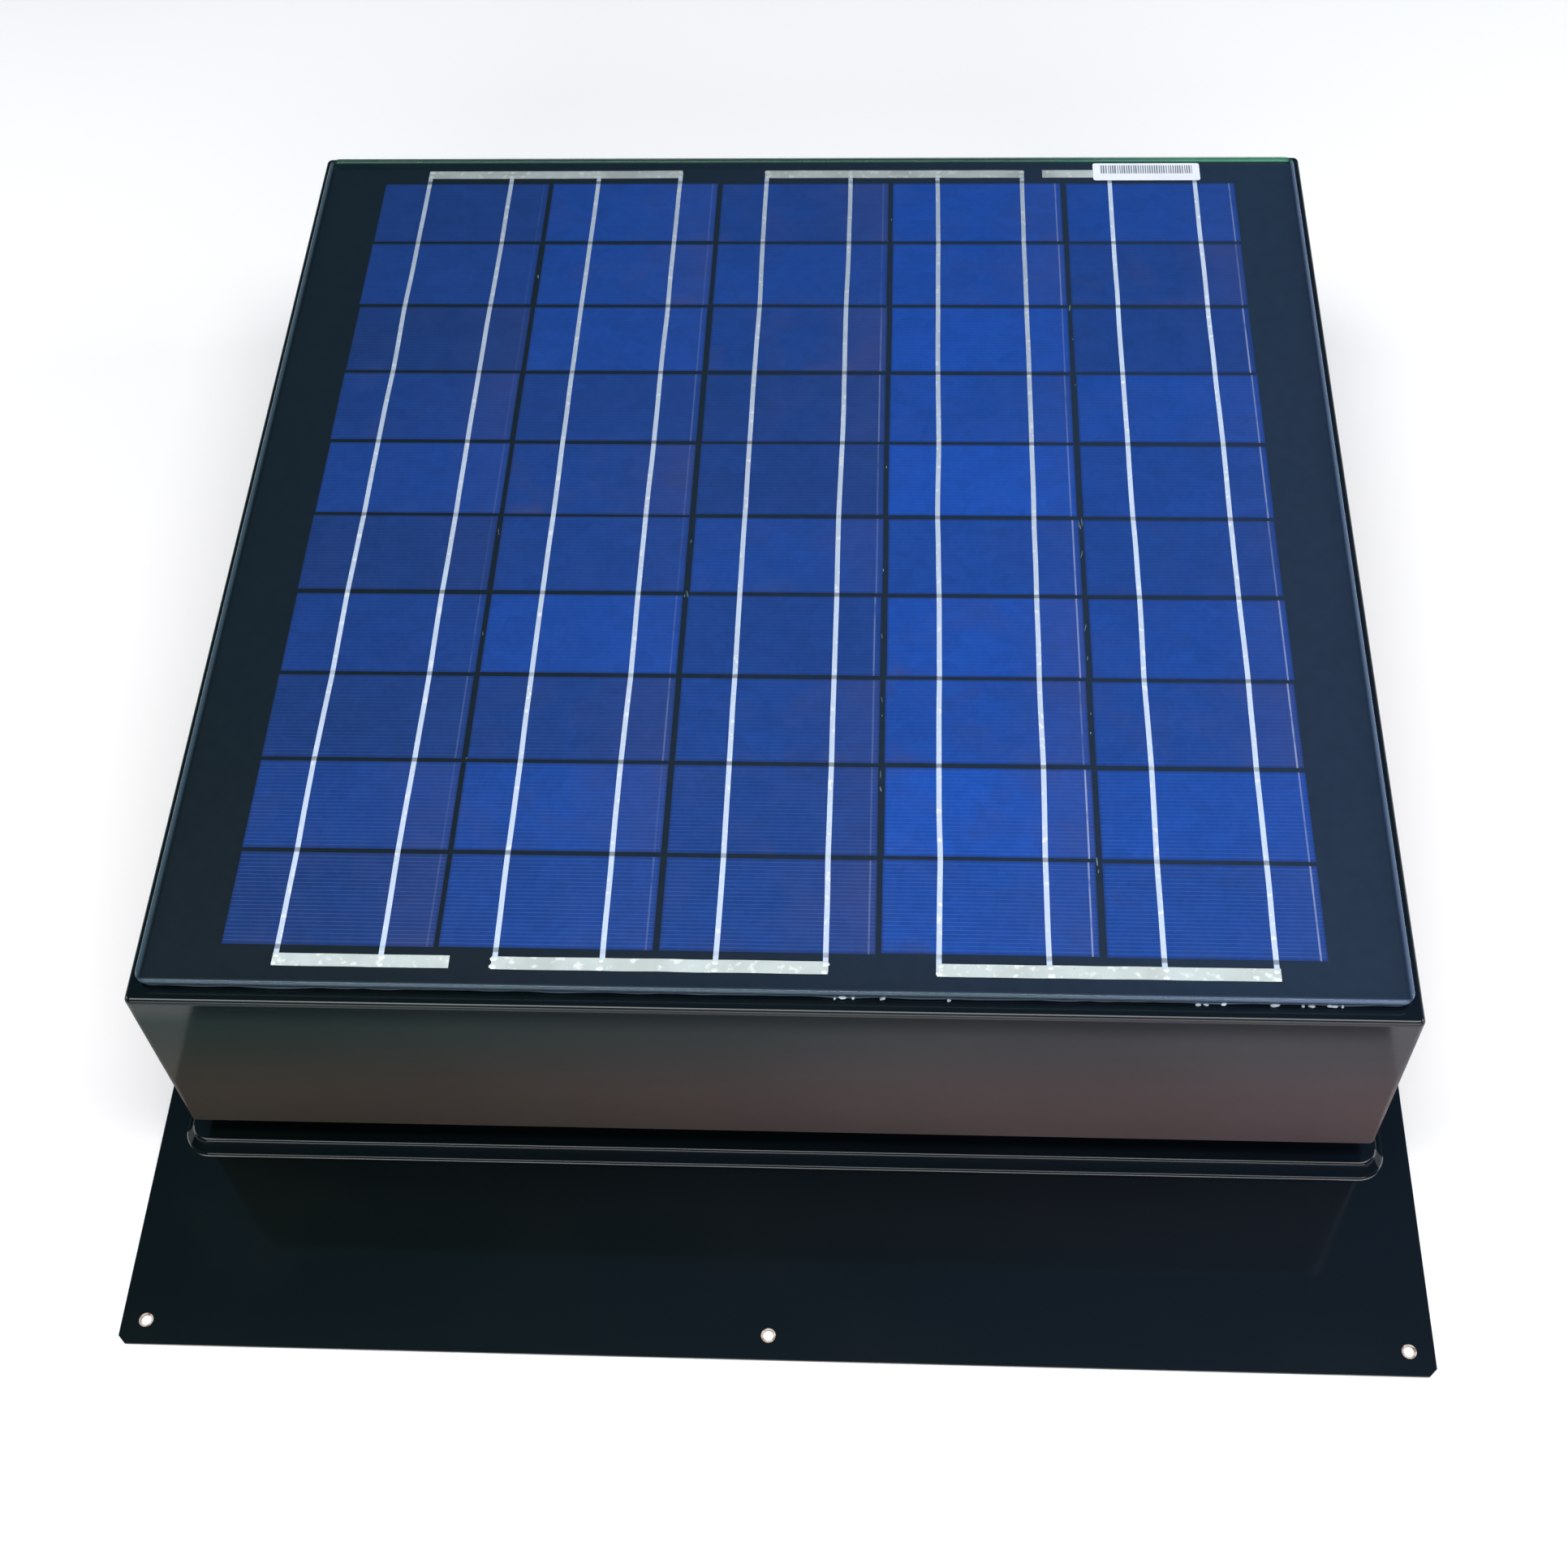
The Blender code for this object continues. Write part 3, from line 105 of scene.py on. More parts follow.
CELL_COLUMNS = 5
CELL_ROWS = 10
CELL_PITCH = (106.7 * MM, 55.8 * MM)
CELL_SIZE = (103.8 * MM, 53.3 * MM)
CELL_MIDDLE_Y = 1.6 * MM
CELL_THICK = 0.20 * MM
CELL_SHIFT = 0.35 * MM
CELL_TWIST = 0.16
COLUMN_TONE = (0.16, 0.34, 0.30, 0.74, 0.52)
COLUMN_EDGING = (0.08, 0.14, 0.22, 0.50, 0.62)
TONE_SPREAD = 0.26
BACKSHEET_THICK = 0.25 * MM
RIBBON_OFFSETS = (-24.3 * MM, 27.7 * MM)
RIBBON_WIDTH = 2.6 * MM
RIBBON_THICK = 0.16 * MM
BUS_WIDTH = 7.0 * MM
BUS_FRONT = -284.6 * MM
BUS_BACK = 288.0 * MM
BUS_THICK = 0.22 * MM
# place along Y, first and last ribbon joined, overhang at the left and at the right
BUS_RUNS = ((BUS_BACK, 0, 3, 0.0, 0.0), (BUS_BACK, 4, 7, 0.0, 0.0), (BUS_BACK, 8, 9, 40 * MM, 2 * MM),
            (BUS_FRONT, 0, 1, 0.0, 32 * MM), (BUS_FRONT, 2, 5, 0.0, 0.0), (BUS_FRONT, 6, 9, 0.0, 0.0))
FLECK_COUNT = 30
LUMP_COUNT = 16
LABEL_SIZE = (66 * MM, 16 * MM)
LABEL_MIDDLE = (212 * MM, 289.6 * MM)
LABEL_CORNER = 1.5 * MM
LABEL_THICK = 0.06 * MM
LABEL_LIFT = 0.38 * MM
SEAL_BREADTH = 14 * MM
SEAL_SWELL = 1.7 * MM

SCREEN_COLUMNS = 8
SCREEN_ROWS = 2
SCREEN_BAR = 4.0 * MM
SCREEN_RIM = 9.0 * MM
SCREEN_SHEET = 1.0 * MM
WIRE_PITCH = 2.5 * MM
WIRE_RADIUS = 0.25 * MM

WING_COUNT = 5
WING_ROOT = 56 * MM
WING_TIP = 176 * MM
WING_SHEET = 1.5 * MM
WING_Z = 66.5 * MM
WING_HALF_CHORD = (30 * MM, 57 * MM)
WING_PITCH = (32.0, 21.0)
WING_CURVE = 1.5
WING_CORNER = 12 * MM
WING_RISE = (40 * MM, 52 * MM)
TONGUE_RIVETS = ((62 * MM, -6 * MM), (62 * MM, 6 * MM), (72 * MM, 0.0), (82 * MM, -6 * MM), (82 * MM, 6 * MM))
SCREW_LENGTH = 12.2 * MM
SCREW_THREAD = 0.8 * MM

CAMERA_PLACE = (0.059, -0.797, 1.045)
CAMERA_ANGLES = (55.09, -5.06, -3.45)
CAMERA_LENS = 49.42
ROOM_COLOUR = (0.30, 0.62, 1.0, 1.0)
ROOM_STRENGTH = 0.17
# name, place, aim, size, power, colour
LIGHTS = (
    ("overhead", (0.1, -0.35, 2.6), (0.1, -0.35, 0.0), (3.2, 1.2), 78.0, (1.0, 0.96, 0.92)),
    ("left_fill", (-2.6, 0.1, 1.2), (0.0, 0.1, 0.0), (1.2, 1.6), 22.0, (1.0, 0.96, 0.93)),
    ("right_fill", (2.6, 0.1, 1.2), (0.1, 0.1, 0.0), (1.2, 1.6), 28.0, (0.95, 0.96, 1.0)),
    ("front_fill", (0.3, -2.7, 1.35), (0.1, -0.3, 0.08), (3.6, 1.0), 42.0, (1.0, 0.965, 0.94)))


# ---- material maths
class Value:
    """A quantity that varies over a surface; arithmetic on it adds Math nodes."""

    def __init__(self, paint, socket):
        self.paint = paint
        self.socket = socket

    def math(self, operation, *terms):
        return self.paint.node("ShaderNodeMath", {"operation": operation}, dict(enumerate(terms)))

    def __add__(self, other):
        return self.math("ADD", self, other)

    def __radd__(self, other):
        return self.math("ADD", other, self)

    def __sub__(self, other):
        return self.math("SUBTRACT", self, other)

    def __rsub__(self, other):
        return self.math("SUBTRACT", other, self)

    def __mul__(self, other):
        return self.math("MULTIPLY", self, other)

    def __rmul__(self, other):
        return self.math("MULTIPLY", other, self)

    def __truediv__(self, other):
        return self.math("DIVIDE", self, other)

    def __gt__(self, other):
        return self.math("GREATER_THAN", self, other)

    def __abs__(self):
        return self.math("ABSOLUTE", self)

    def least(self, other):
        return self.math("MINIMUM", self, other)

    def part(self):
        return self.math("FRACT", self)


class Paint:
    """One finish: a Principled shader, and one method through which every node is added."""

    def __init__(self, name, colour, **settings):
        self.material = bpy.data.materials.new(name)
        self.material.use_nodes = True
        self.tree = self.material.node_tree
        self.shader = self.tree.nodes["Principled BSDF"]
        self.shader.inputs["Base Color"].default_value = (*colour, 1.0)
        for socket, value in settings.items():
            self.shader.inputs[socket.replace("_", " ").title().replace("Ior", "IOR")].default_value = value

    def node(self, kind, settings=None, sockets=None, output=0):
        made = self.tree.nodes.new(kind)
        for name, value in (settings or {}).items():
            setattr(made, name, value)
        for name, value in (sockets or {}).items():
            self.feed(made.inputs[name], value)
        return Value(self, made.outputs[output])

    def feed(self, socket, value):
        if isinstance(value, Value):
            self.tree.links.new(value.socket, socket)
        elif isinstance(value, tuple) and socket.type == "RGBA":
            socket.default_value = (*value, 1.0)
        else:
            socket.default_value = value

    def drive(self, name, value):
        self.feed(self.shader.inputs[name], value)

    def where(self, stretch=(1.0, 1.0, 1.0)):
        place = self.node("ShaderNodeTexCoord", output="Object")
        return self.node("ShaderNodeMapping", None, {"Vector": place, "Scale": stretch})

    def axis(self, name):
        return self.node("ShaderNodeSeparateXYZ", None, {0: self.where()}, name)

    def cloud(self, scale, detail=3.0, stretch=(1.0, 1.0, 1.0)):
        return self.node("ShaderNodeTexNoise", None, {
            "Vector": self.where(stretch), "Scale": scale, "Detail": detail})

    def flakes(self, scale, stretch=(1.0, 1.0, 1.0)):
        spread = self.node("ShaderNodeTexVoronoi", None, {
            "Vector": self.where(stretch), "Scale": scale}, "Color")
        return self.node("ShaderNodeSeparateColor", None, {0: spread})

    def attribute(self, name):
        return self.node("ShaderNodeAttribute", {"attribute_name": name}, None, "Fac")

    def band(self, value, low, high):
        return self.node("ShaderNodeMapRange", {"interpolation_type": "SMOOTHSTEP"}, {
            "Value": value, "From Min": low, "From Max": high})

    def mix(self, factor, first, second):
        return self.node("ShaderNodeMix", {"data_type": "RGBA"}, {0: factor, 6: first, 7: second}, 2)

    def shade(self, colour, factor):
        """A colour made lighter or darker by a varying number."""
        return self.node("ShaderNodeVectorMath", {"operation": "SCALE"}, {0: colour, "Scale": factor})

    def finish(self, colour, roughness, height, depth):
        """Drives what every finish varies: colour, roughness and a relief of some depth."""
        self.drive("Base Color", colour)
        self.drive("Roughness", roughness)
        bump = self.node("ShaderNodeBump", None, {"Height": height, "Strength": 1.0, "Distance": depth})
        self.drive("Normal", bump)
        return self.material


# ---- finishes
def powder_coat(name, sheen_and_dust):
    """Gloss black powder coat: orange peel, slow waviness of the sheet; painted sheen lighter towards the
    right, and on the walls a warm painted sheen with some dust, lighter towards the bottom.
    """
    paint = Paint(name, (0.004, 0.008, 0.009), roughness=0.34, specular_ior_level=0.0,
                  coat_weight=0.85, coat_roughness=0.10)
    height = paint.axis("Z")
    across = paint.axis("X")
    mottle = paint.cloud(9.0, 4.0)
    fine = paint.cloud(120.0, 3.0)
    # Painted sheen: the coat's colour is lighter towards the right.
    right_sheen = paint.band(across, -0.34, 0.34)
    cast = paint.mix(right_sheen, (0.0014, 0.0038, 0.0038), (0.0034, 0.0062, 0.0100))
    if sheen_and_dust:
        # Painted sheen with some dust: walls lighter and warmer towards the bottom and the right, none on the
        # top face.
        low = paint.band(height, 0.140, 0.050)
        upper = paint.mix(right_sheen, (0.019, 0.033, 0.030), (0.078, 0.074, 0.082))
        lower = paint.mix(right_sheen, (0.051, 0.043, 0.034), (0.110, 0.080, 0.083))
        haze = paint.shade(paint.mix(low, upper, lower), 0.80 + 0.30 * mottle + 0.10 * fine)
        dust_and_sheen = paint.band(height, 0.1521, 0.1510) * (0.45 + 0.55 * paint.band(height, 0.150, 0.128))
        cast = paint.mix(dust_and_sheen, cast, haze)
        paint.drive("Coat Weight", 0.85 - 0.62 * dust_and_sheen)
    else:
        dust_and_sheen = paint.band(mottle, 0.45, 0.85) * 0.04
        cast = paint.mix(dust_and_sheen, cast, (0.050, 0.046, 0.042))
    peel = paint.cloud(750.0, 2.0)
    waves = paint.cloud(5.0, 2.0)
    return paint.finish(cast, 0.28 + 0.16 * mottle, peel * 0.006 + waves * 0.55, 1.4 * MM)


def worn_edge():
    """Bare zinc at a punched hole, with a little rust."""
    paint = Paint("worn_hole_edge", (0.36, 0.31, 0.27), roughness=0.45, metallic=0.7)
    rust = paint.band(paint.cloud(420.0, 3.0), 0.45, 0.70)
    paint.drive("Base Color", paint.mix(rust, (0.42, 0.37, 0.33), (0.20, 0.10, 0.055)))
    paint.drive("Roughness", 0.38 + 0.3 * rust)
    return paint.material


def clear_glass(half_x, half_y):
    """Tempered glass: clear in the middle, tinted along its polished edge, with a painted highlight that
    brightens the edge towards the right.
    """
    paint = Paint("panel_glass_clear", (0.30, 0.42, 0.40), roughness=0.06, ior=1.52)
    from_side = half_x - abs(paint.axis("X"))
    from_end = half_y - abs(paint.axis("Y"))
    edge = paint.band(from_side.least(from_end), 2.2 * MM, 0.4 * MM)
    back = paint.band(paint.axis("Y"), half_y - 5 * MM, half_y - 1 * MM)
    right = paint.band(paint.axis("X"), 0.10, half_x)
    # Painted highlight: the edge colours grow lighter towards the right.
    green = paint.mix(right, (0.030, 0.110, 0.085), (0.10, 0.42, 0.26))
    grey = paint.mix(right, (0.060, 0.100, 0.135), (0.110, 0.165, 0.270))
    smears = paint.cloud(14.0, 4.0, (1.0, 0.5, 1.0))
    opaque = 0.80 * edge * (0.80 + 0.20 * paint.cloud(60.0, 2.0))
    paint.drive("Alpha", (0.004 + 0.008 * smears + opaque).least(1.0))
    return paint.finish(paint.mix(back, grey, green), 0.04 + 0.10 * smears, paint.cloud(2.5, 1.0), 0.10 * MM)


def black_backsheet():
    """Black plastic film behind the cells, seen through the glass; lighter towards the right, a painted
    sheen.
    """
    paint = Paint("black_backsheet", (0.010, 0.017, 0.027), roughness=0.42, specular_ior_level=0.1,
                  coat_weight=1.0, coat_roughness=0.05)
    right_sheen = paint.band(paint.axis("X"), -0.30, 0.32)
    weave = paint.cloud(160.0, 3.0)
    # Painted sheen: the film's colour is lighter towards the right.
    colour = paint.mix(right_sheen, (0.0026, 0.0068, 0.0100), (0.0096, 0.0195, 0.0410))
    return paint.finish(paint.shade(colour, 0.85 + 0.3 * weave), 0.36 + 0.14 * weave,
                        paint.cloud(30.0, 3.0), 0.15 * MM)


def silicon_cells():
    """Blue cells: crystal flakes, finger lines, one tone to each cell, pale line near the right edge; painted
    shade darkens the left and the back, and a painted highlight brightens finger lines and pale lines towards
    the front.
    """
    paint = Paint("blue_silicon_cells", (0.020, 0.070, 0.300), roughness=0.36, specular_ior_level=0.1,
                  coat_weight=1.0, coat_roughness=0.05)
    tone = paint.attribute("cell_tone")
    warmth = paint.attribute("cell_warmth")
    edging = paint.attribute("cell_edging")
    place = paint.node("ShaderNodeUVMap", {"uv_map": "cell_uv"})
    along = paint.node("ShaderNodeSeparateXYZ", None, {0: place}, "X")
    up = paint.node("ShaderNodeSeparateXYZ", None, {0: place}, "Y")
    blue = paint.mix(tone, (0.0080, 0.0330, 0.1560), (0.0075, 0.0560, 0.3200))
    large = paint.flakes(95.0, (1.0, 1.3, 1.0))
    small = paint.flakes(260.0, (1.4, 1.0, 1.0))
    drift = paint.cloud(24.0, 3.0)
    grain = 0.84 + 0.12 * large + 0.08 * small + 0.16 * drift
    # Painted shade: darker towards the left and towards the back.
    left_shade = paint.band(paint.axis("X"), -0.05, -0.30)
    front_light = paint.band(paint.axis("Y"), 0.30, -0.10)
    blue = paint.shade(blue, grain * (1.0 - 0.16 * left_shade) * (0.84 + 0.16 * front_light))
    haze = paint.band(paint.cloud(38.0, 3.0), 0.42, 0.72)
    side = paint.band(along, 0.50, 1.05)
    foot = paint.band(up, 0.22, 0.0) * paint.band(paint.cloud(30.0, 2.0, (1.0, 0.3, 1.0)), 0.5, 0.7)
    plum = (side * 0.45 + foot * 0.50 + haze * 0.25).least(1.0) * warmth
    blue = paint.mix(plum, blue, (0.034, 0.045, 0.150))
    line = paint.band(abs((up * 24.0).part() - 0.5), 0.34, 0.48) * (0.5 + 0.5 * paint.cloud(60.0))
    # Painted highlight: finger lines show more towards the front.
    front_glint = 0.25 + 0.75 * paint.band(paint.axis("Y"), -0.08, -0.26)
    blue = paint.mix(line * front_glint * 0.30, blue, (0.070, 0.190, 0.520))
    margin = (0.5 - abs(along - 0.5)).least((0.5 - abs(up - 0.5)) * 0.5)
    blue = paint.mix(paint.band(margin, 0.014, 0.002) * 0.50, blue, (0.008, 0.020, 0.075))
    # The pale line fades towards the back: painted shade.
    trace = (1.0 - paint.band(abs(along - 0.968), 0.002, 0.006)) * edging * (0.4 + 0.6 * front_light)
    trace = trace * paint.band(paint.cloud(70.0), 0.15, 0.5)
    blue = paint.mix(trace, blue, (0.36, 0.42, 0.62))
    return paint.finish(blue, 0.30 + 0.10 * small, line * 0.4 + large * 0.2, 0.05 * MM)


def tinned_copper(name, colour, worn, gap_shade=False):
    """Tinned ribbon: long drawn streaks, dull and bright patches of solder; painted light brighter towards
    the front and the right, and painted shade at the cell gaps.
    """
    paint = Paint(name, colour, roughness=0.34, metallic=0.45, coat_weight=0.6, coat_roughness=0.08)
    streak = paint.cloud(110.0, 3.0, (1.0, 0.10, 1.0))
    patch = paint.band(paint.cloud(34.0, 2.0), 0.35, 0.68)
    dull = tuple(channel * worn for channel in colour)
    body = paint.mix(patch, colour, dull)
    bright = paint.band(paint.cloud(240.0, 2.0), 0.56, 0.70)
    body = paint.mix(bright * 0.55, body, (0.92, 0.94, 0.92))
    # Painted light: brighter towards the front and towards the right.
    lit = (paint.band(paint.axis("Y"), 0.29, -0.22) + paint.band(paint.axis("X"), 0.13, 0.20)).least(1.0)
    light = (0.86 + 0.26 * streak) * (0.64 + 0.36 * lit)
    # Painted shade where a ribbon crosses a gap between cells; the ribbon itself does not dip.
    if gap_shade:
        row = (paint.axis("Y") - CELL_MIDDLE_Y) / CELL_PITCH[1] + 0.5
        gap = paint.band(abs(row.part() - 0.5), 0.034, 0.014)
        light = light * (1.0 - 0.62 * gap * paint.band(paint.cloud(26.0, 2.0), 0.30, 0.60))
    paint.drive("Metallic", 0.10 + 0.20 * streak)
    return paint.finish(paint.shade(body, light), 0.26 + 0.22 * patch,
                        streak * 0.5 + paint.cloud(500.0, 2.0) * 0.5, 0.10 * MM)


def rating_label():
    """White sticker with plain bars of no meaning."""
    low_x = LABEL_MIDDLE[0] - LABEL_SIZE[0] / 2
    low_y = LABEL_MIDDLE[1] - LABEL_SIZE[1] / 2
    paint = Paint("plain_bar_label", (0.62, 0.66, 0.68), roughness=0.5, coat_weight=1.0, coat_roughness=0.05)
    along = (paint.axis("X") - low_x) / LABEL_SIZE[0]
    up = (paint.axis("Y") - low_y) / LABEL_SIZE[1]
    bars = ((along * 46.0).part() + paint.cloud(300.0, 1.0, (1.0, 0.0, 0.0))) > 0.95
    inside = paint.band(along, 0.06, 0.08) * paint.band(along, 0.94, 0.92)
    inside = inside * paint.band(up, 0.38, 0.42) * paint.band(up, 0.90, 0.86)
    soiled = paint.cloud(60.0, 3.0)
    white = paint.shade((0.74, 0.78, 0.88), 0.88 + 0.24 * soiled)
    paint.drive("Base Color", paint.mix(bars * inside * 0.85, white, (0.045, 0.055, 0.065)))
    paint.drive("Roughness", 0.40 + 0.2 * soiled)
    return paint.material


def sealant(name, colour, shine, highlight_gain=1.0):
    """Cured sealant: soft, slightly lumpy, with picked-up dust; lighter towards the right side, a painted
    highlight.
    """
    paint = Paint(name, colour, roughness=shine)
    lumps = paint.cloud(150.0, 4.0)
    dust = paint.band(paint.cloud(40.0, 3.0), 0.45, 0.80)
    pale = tuple(min(1.0, channel * 1.8 + 0.01) for channel in colour)
    # Painted highlight: the colour is scaled up towards the right.
    right_highlight = 1.0 + (highlight_gain - 1.0) * paint.band(paint.axis("X"), -0.30, 0.30)
    return paint.finish(paint.shade(paint.mix(dust, colour, pale), right_highlight), shine + 0.18 * dust,
                        lumps, 0.35 * MM)


def galvanised(name, tone):
    """Zinc spangle with fine scratches and white bloom."""
    paint = Paint(name, (tone, tone, tone), roughness=0.40, metallic=0.9)
    spangle = paint.flakes(110.0)
    scratch = paint.cloud(300.0, 2.0, (1.0, 0.04, 1.0))
    bloom = paint.band(paint.cloud(26.0, 4.0), 0.5, 0.85)
    metal = paint.shade((tone, tone * 1.02, tone * 1.04), 0.78 + 0.30 * spangle + 0.12 * scratch)
    paint.drive("Metallic", 0.95 - 0.5 * bloom)
    return paint.finish(paint.mix(bloom * 0.5, metal, (0.52, 0.52, 0.50)),
                        0.28 + 0.16 * spangle + 0.25 * bloom, scratch * 0.3 + spangle * 0.2, 0.06 * MM)


def brushed_aluminium():
    """Mill-finish blade sheet: rolling lines and faint oil stains."""
    paint = Paint("mill_aluminium", (0.70, 0.71, 0.73), roughness=0.34, metallic=1.0)
    lines = paint.cloud(240.0, 3.0, (1.0, 0.05, 1.0))
    stain = paint.band(paint.cloud(22.0, 4.0), 0.48, 0.80)
    sheet = paint.shade((0.70, 0.71, 0.73), 0.86 + 0.24 * lines)
    return paint.finish(paint.mix(stain * 0.5, sheet, (0.42, 0.40, 0.37)),
                        0.26 + 0.12 * lines + 0.20 * stain, lines, 0.04 * MM)


def zinc_plate():
    """Bright zinc of rivets, screws, shaft and bearings."""
    paint = Paint("bright_zinc_plate", (0.62, 0.62, 0.61), roughness=0.26, metallic=1.0)
    turned_marks = paint.cloud(900.0, 2.0, (1.0, 1.0, 0.2))
    tarnish = paint.band(paint.cloud(160.0, 3.0), 0.5, 0.8)
    return paint.finish(paint.mix(tarnish * 0.6, (0.64, 0.64, 0.62), (0.34, 0.32, 0.27)),
                        0.20 + 0.12 * turned_marks + 0.22 * tarnish, turned_marks, 0.02 * MM)


def satin_enamel():
    """Satin black enamel of the motor, with handling marks."""
    paint = Paint("motor_satin_enamel", (0.018, 0.018, 0.020), roughness=0.38)
    speckle = paint.cloud(700.0, 2.0)
    rub = paint.band(paint.cloud(50.0, 4.0), 0.58, 0.82)
    return paint.finish(paint.mix(rub * 0.5, (0.016, 0.016, 0.018), (0.060, 0.058, 0.055)),
                        0.32 + 0.18 * speckle, speckle, 0.05 * MM)


def laminated_steel():
    """Stacked sheets of electrical steel: a line for every sheet."""
    paint = Paint("stacked_core_steel", (0.28, 0.28, 0.29), roughness=0.5, metallic=0.8)
    sheets = paint.band(abs((paint.axis("Z") * 1600.0).part() - 0.5), 0.30, 0.48)
    stain = paint.cloud(80.0, 3.0)
    steel = paint.shade((0.30, 0.30, 0.31), 0.7 + 0.5 * stain)
    return paint.finish(paint.mix(sheets * 0.7, steel, (0.06, 0.055, 0.05)), 0.40 + 0.25 * stain,
                        1.0 - sheets, 0.08 * MM)


def ferrite():
    """Dull sintered magnet, slightly porous."""
    paint = Paint("sintered_magnet", (0.060, 0.060, 0.065), roughness=0.55, metallic=0.3)
    pores = paint.band(paint.cloud(1100.0, 3.0), 0.55, 0.70)
    return paint.finish(paint.mix(pores, (0.064, 0.064, 0.068), (0.022, 0.021, 0.022)), 0.48 + 0.3 * pores,
                        1.0 - pores, 0.06 * MM)


def moulded_plastic(name, colour, grain):
    """Moulded plastic with a fine spark-eroded texture."""
    paint = Paint(name, colour, roughness=0.5)
    texture = paint.cloud(grain, 3.0)
    scuff = paint.band(paint.cloud(70.0, 4.0), 0.56, 0.80)
    pale = tuple(min(1.0, channel * 1.5 + 0.02) for channel in colour)
    return paint.finish(paint.mix(scuff * 0.6, colour, pale), 0.40 + 0.22 * texture, texture, 0.08 * MM)


def cable_jacket():
    """Extruded rubber jacket: dull, with faint draw lines and dust."""
    paint = Paint("cable_jacket", (0.014, 0.014, 0.015), roughness=0.55)
    draw = paint.cloud(500.0, 2.0)
    dust = paint.band(paint.cloud(60.0, 4.0), 0.50, 0.85)
    return paint.finish(paint.mix(dust * 0.5, (0.013, 0.013, 0.014), (0.070, 0.064, 0.056)),
                        0.46 + 0.22 * draw, draw, 0.06 * MM)


# ---- modelling helpers
def verts_of(result):
    return [item for item in result["geom"] if isinstance(item, bmesh.types.BMVert)]


def finished(name, shape, paints, body, nodes=(), sharp=32.0):
    """A bmesh made a piece that rides on a body and stands for its CAD nodes."""
    mesh = bpy.data.meshes.new(name)
    shape.edges.index_update()
    rims = [edge.index for edge in shape.edges if edge.is_boundary]
    shape.to_mesh(mesh)
    shape.free()
    for paint in paints:
        mesh.materials.append(paint)
    mesh.shade_smooth()
    mesh.set_sharp_from_angle(angle=math.radians(sharp))
    for rim in rims:
        mesh.edges[rim].use_edge_sharp = True
    piece = bpy.data.objects.new(name, mesh)
    bpy.context.scene.collection.objects.link(piece)
    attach(piece, body)
    if nodes:
        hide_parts(*nodes)
    return piece


def thicken(piece, thickness, offset=-1.0):
    wall = piece.modifiers.new("thickness", "SOLIDIFY")
    wall.thickness = thickness
    wall.offset = offset
    wall.use_even_offset = True


def soften(piece, width, segments=2, angle=32.0):
    """Small round on every crisp edge."""
    round_over = piece.modifiers.new("round", "BEVEL")
    round_over.width = width
    round_over.segments = segments
    round_over.limit_method = "ANGLE"
    round_over.angle_limit = math.radians(angle)
    round_over.use_clamp_overlap = True


def even_shading(piece):
    """Flat faces shade flat right up to their bends."""
    weights = piece.modifiers.new("even", "WEIGHTED_NORMAL")
    weights.weight = 100
    weights.keep_sharp = True


def placed(middle, size):
    """Moves a unit shape to its middle and stretches it to its size."""
    return Matrix.Translation(middle) @ Matrix.Diagonal((*size, 1.0))


def face_along(shape, direction):
    """Normals made consistent, with most of the area facing along a direction."""
    bmesh.ops.recalc_face_normals(shape, faces=shape.faces)
    if sum(face.normal.dot(direction) * face.calc_area() for face in shape.faces) < 0:
        bmesh.ops.reverse_faces(shape, faces=shape.faces)


def outline(shape, half_x, half_y, radius, z, steps, middle=(0.0, 0.0)):
    """One flat face with rounded corners, or chamfered ones when steps is 1."""
    made = bmesh.ops.create_grid(shape, x_segments=1, y_segments=1, size=1.0,
                                 matrix=placed((*middle, z), (half_x, half_y, 1.0)))
    face = made["verts"][0].link_faces[0]
    if radius > 0:
        rounded = bmesh.ops.bevel(shape, geom=made["verts"], offset=radius, segments=steps, profile=0.5,
                                  affect="VERTICES", material=-1)
        face = rounded["verts"][0].link_faces[0]
    return face


def stacked(shape, rings, steps, middle=(0.0, 0.0)):
    """Rounded rectangles (half_x, half_y, radius, z), each edge loop extruded from the one before.

    Returns the first face and the last loop's edges.
    """
    half_x, half_y, radius, z = rings[0]
    first = outline(shape, half_x, half_y, radius, z, steps, middle)
    edges = list(first.edges)
    for before, ring in zip(rings, rings[1:]):
        verts = verts_of(bmesh.ops.extrude_edge_only(shape, edges=edges))
        fresh = set(verts)
        for vert in verts:
            side_x = math.copysign(1.0, vert.co.x - middle[0])
            side_y = math.copysign(1.0, vert.co.y - middle[1])
            old = Vector((middle[0] + side_x * (before[0] - before[2]),
                          middle[1] + side_y * (before[1] - before[2])))
            new = Vector((middle[0] + side_x * (ring[0] - ring[2]), middle[1] + side_y * (ring[1] - ring[2])))
            vert.co = (*(new + (vert.co.xy - old) * (ring[2] / before[2])), ring[3])
        edges = [edge for edge in shape.edges if edge.verts[0] in fresh and edge.verts[1] in fresh]
    return first, edges


def capped(shape, rings, steps, middle=(0.0, 0.0)):
    """A closed solid through the rings."""
    bmesh.ops.contextual_create(shape, geom=stacked(shape, rings, steps, middle)[1])
    bmesh.ops.recalc_face_normals(shape, faces=shape.faces)


def plate(shape, low, high):
    """A thin rectangular plate between two corners."""
    middle = (Vector(low) + Vector(high)) / 2
    return bmesh.ops.create_cube(shape, size=1.0, matrix=placed(middle, Vector(high) - Vector(low)))["verts"]


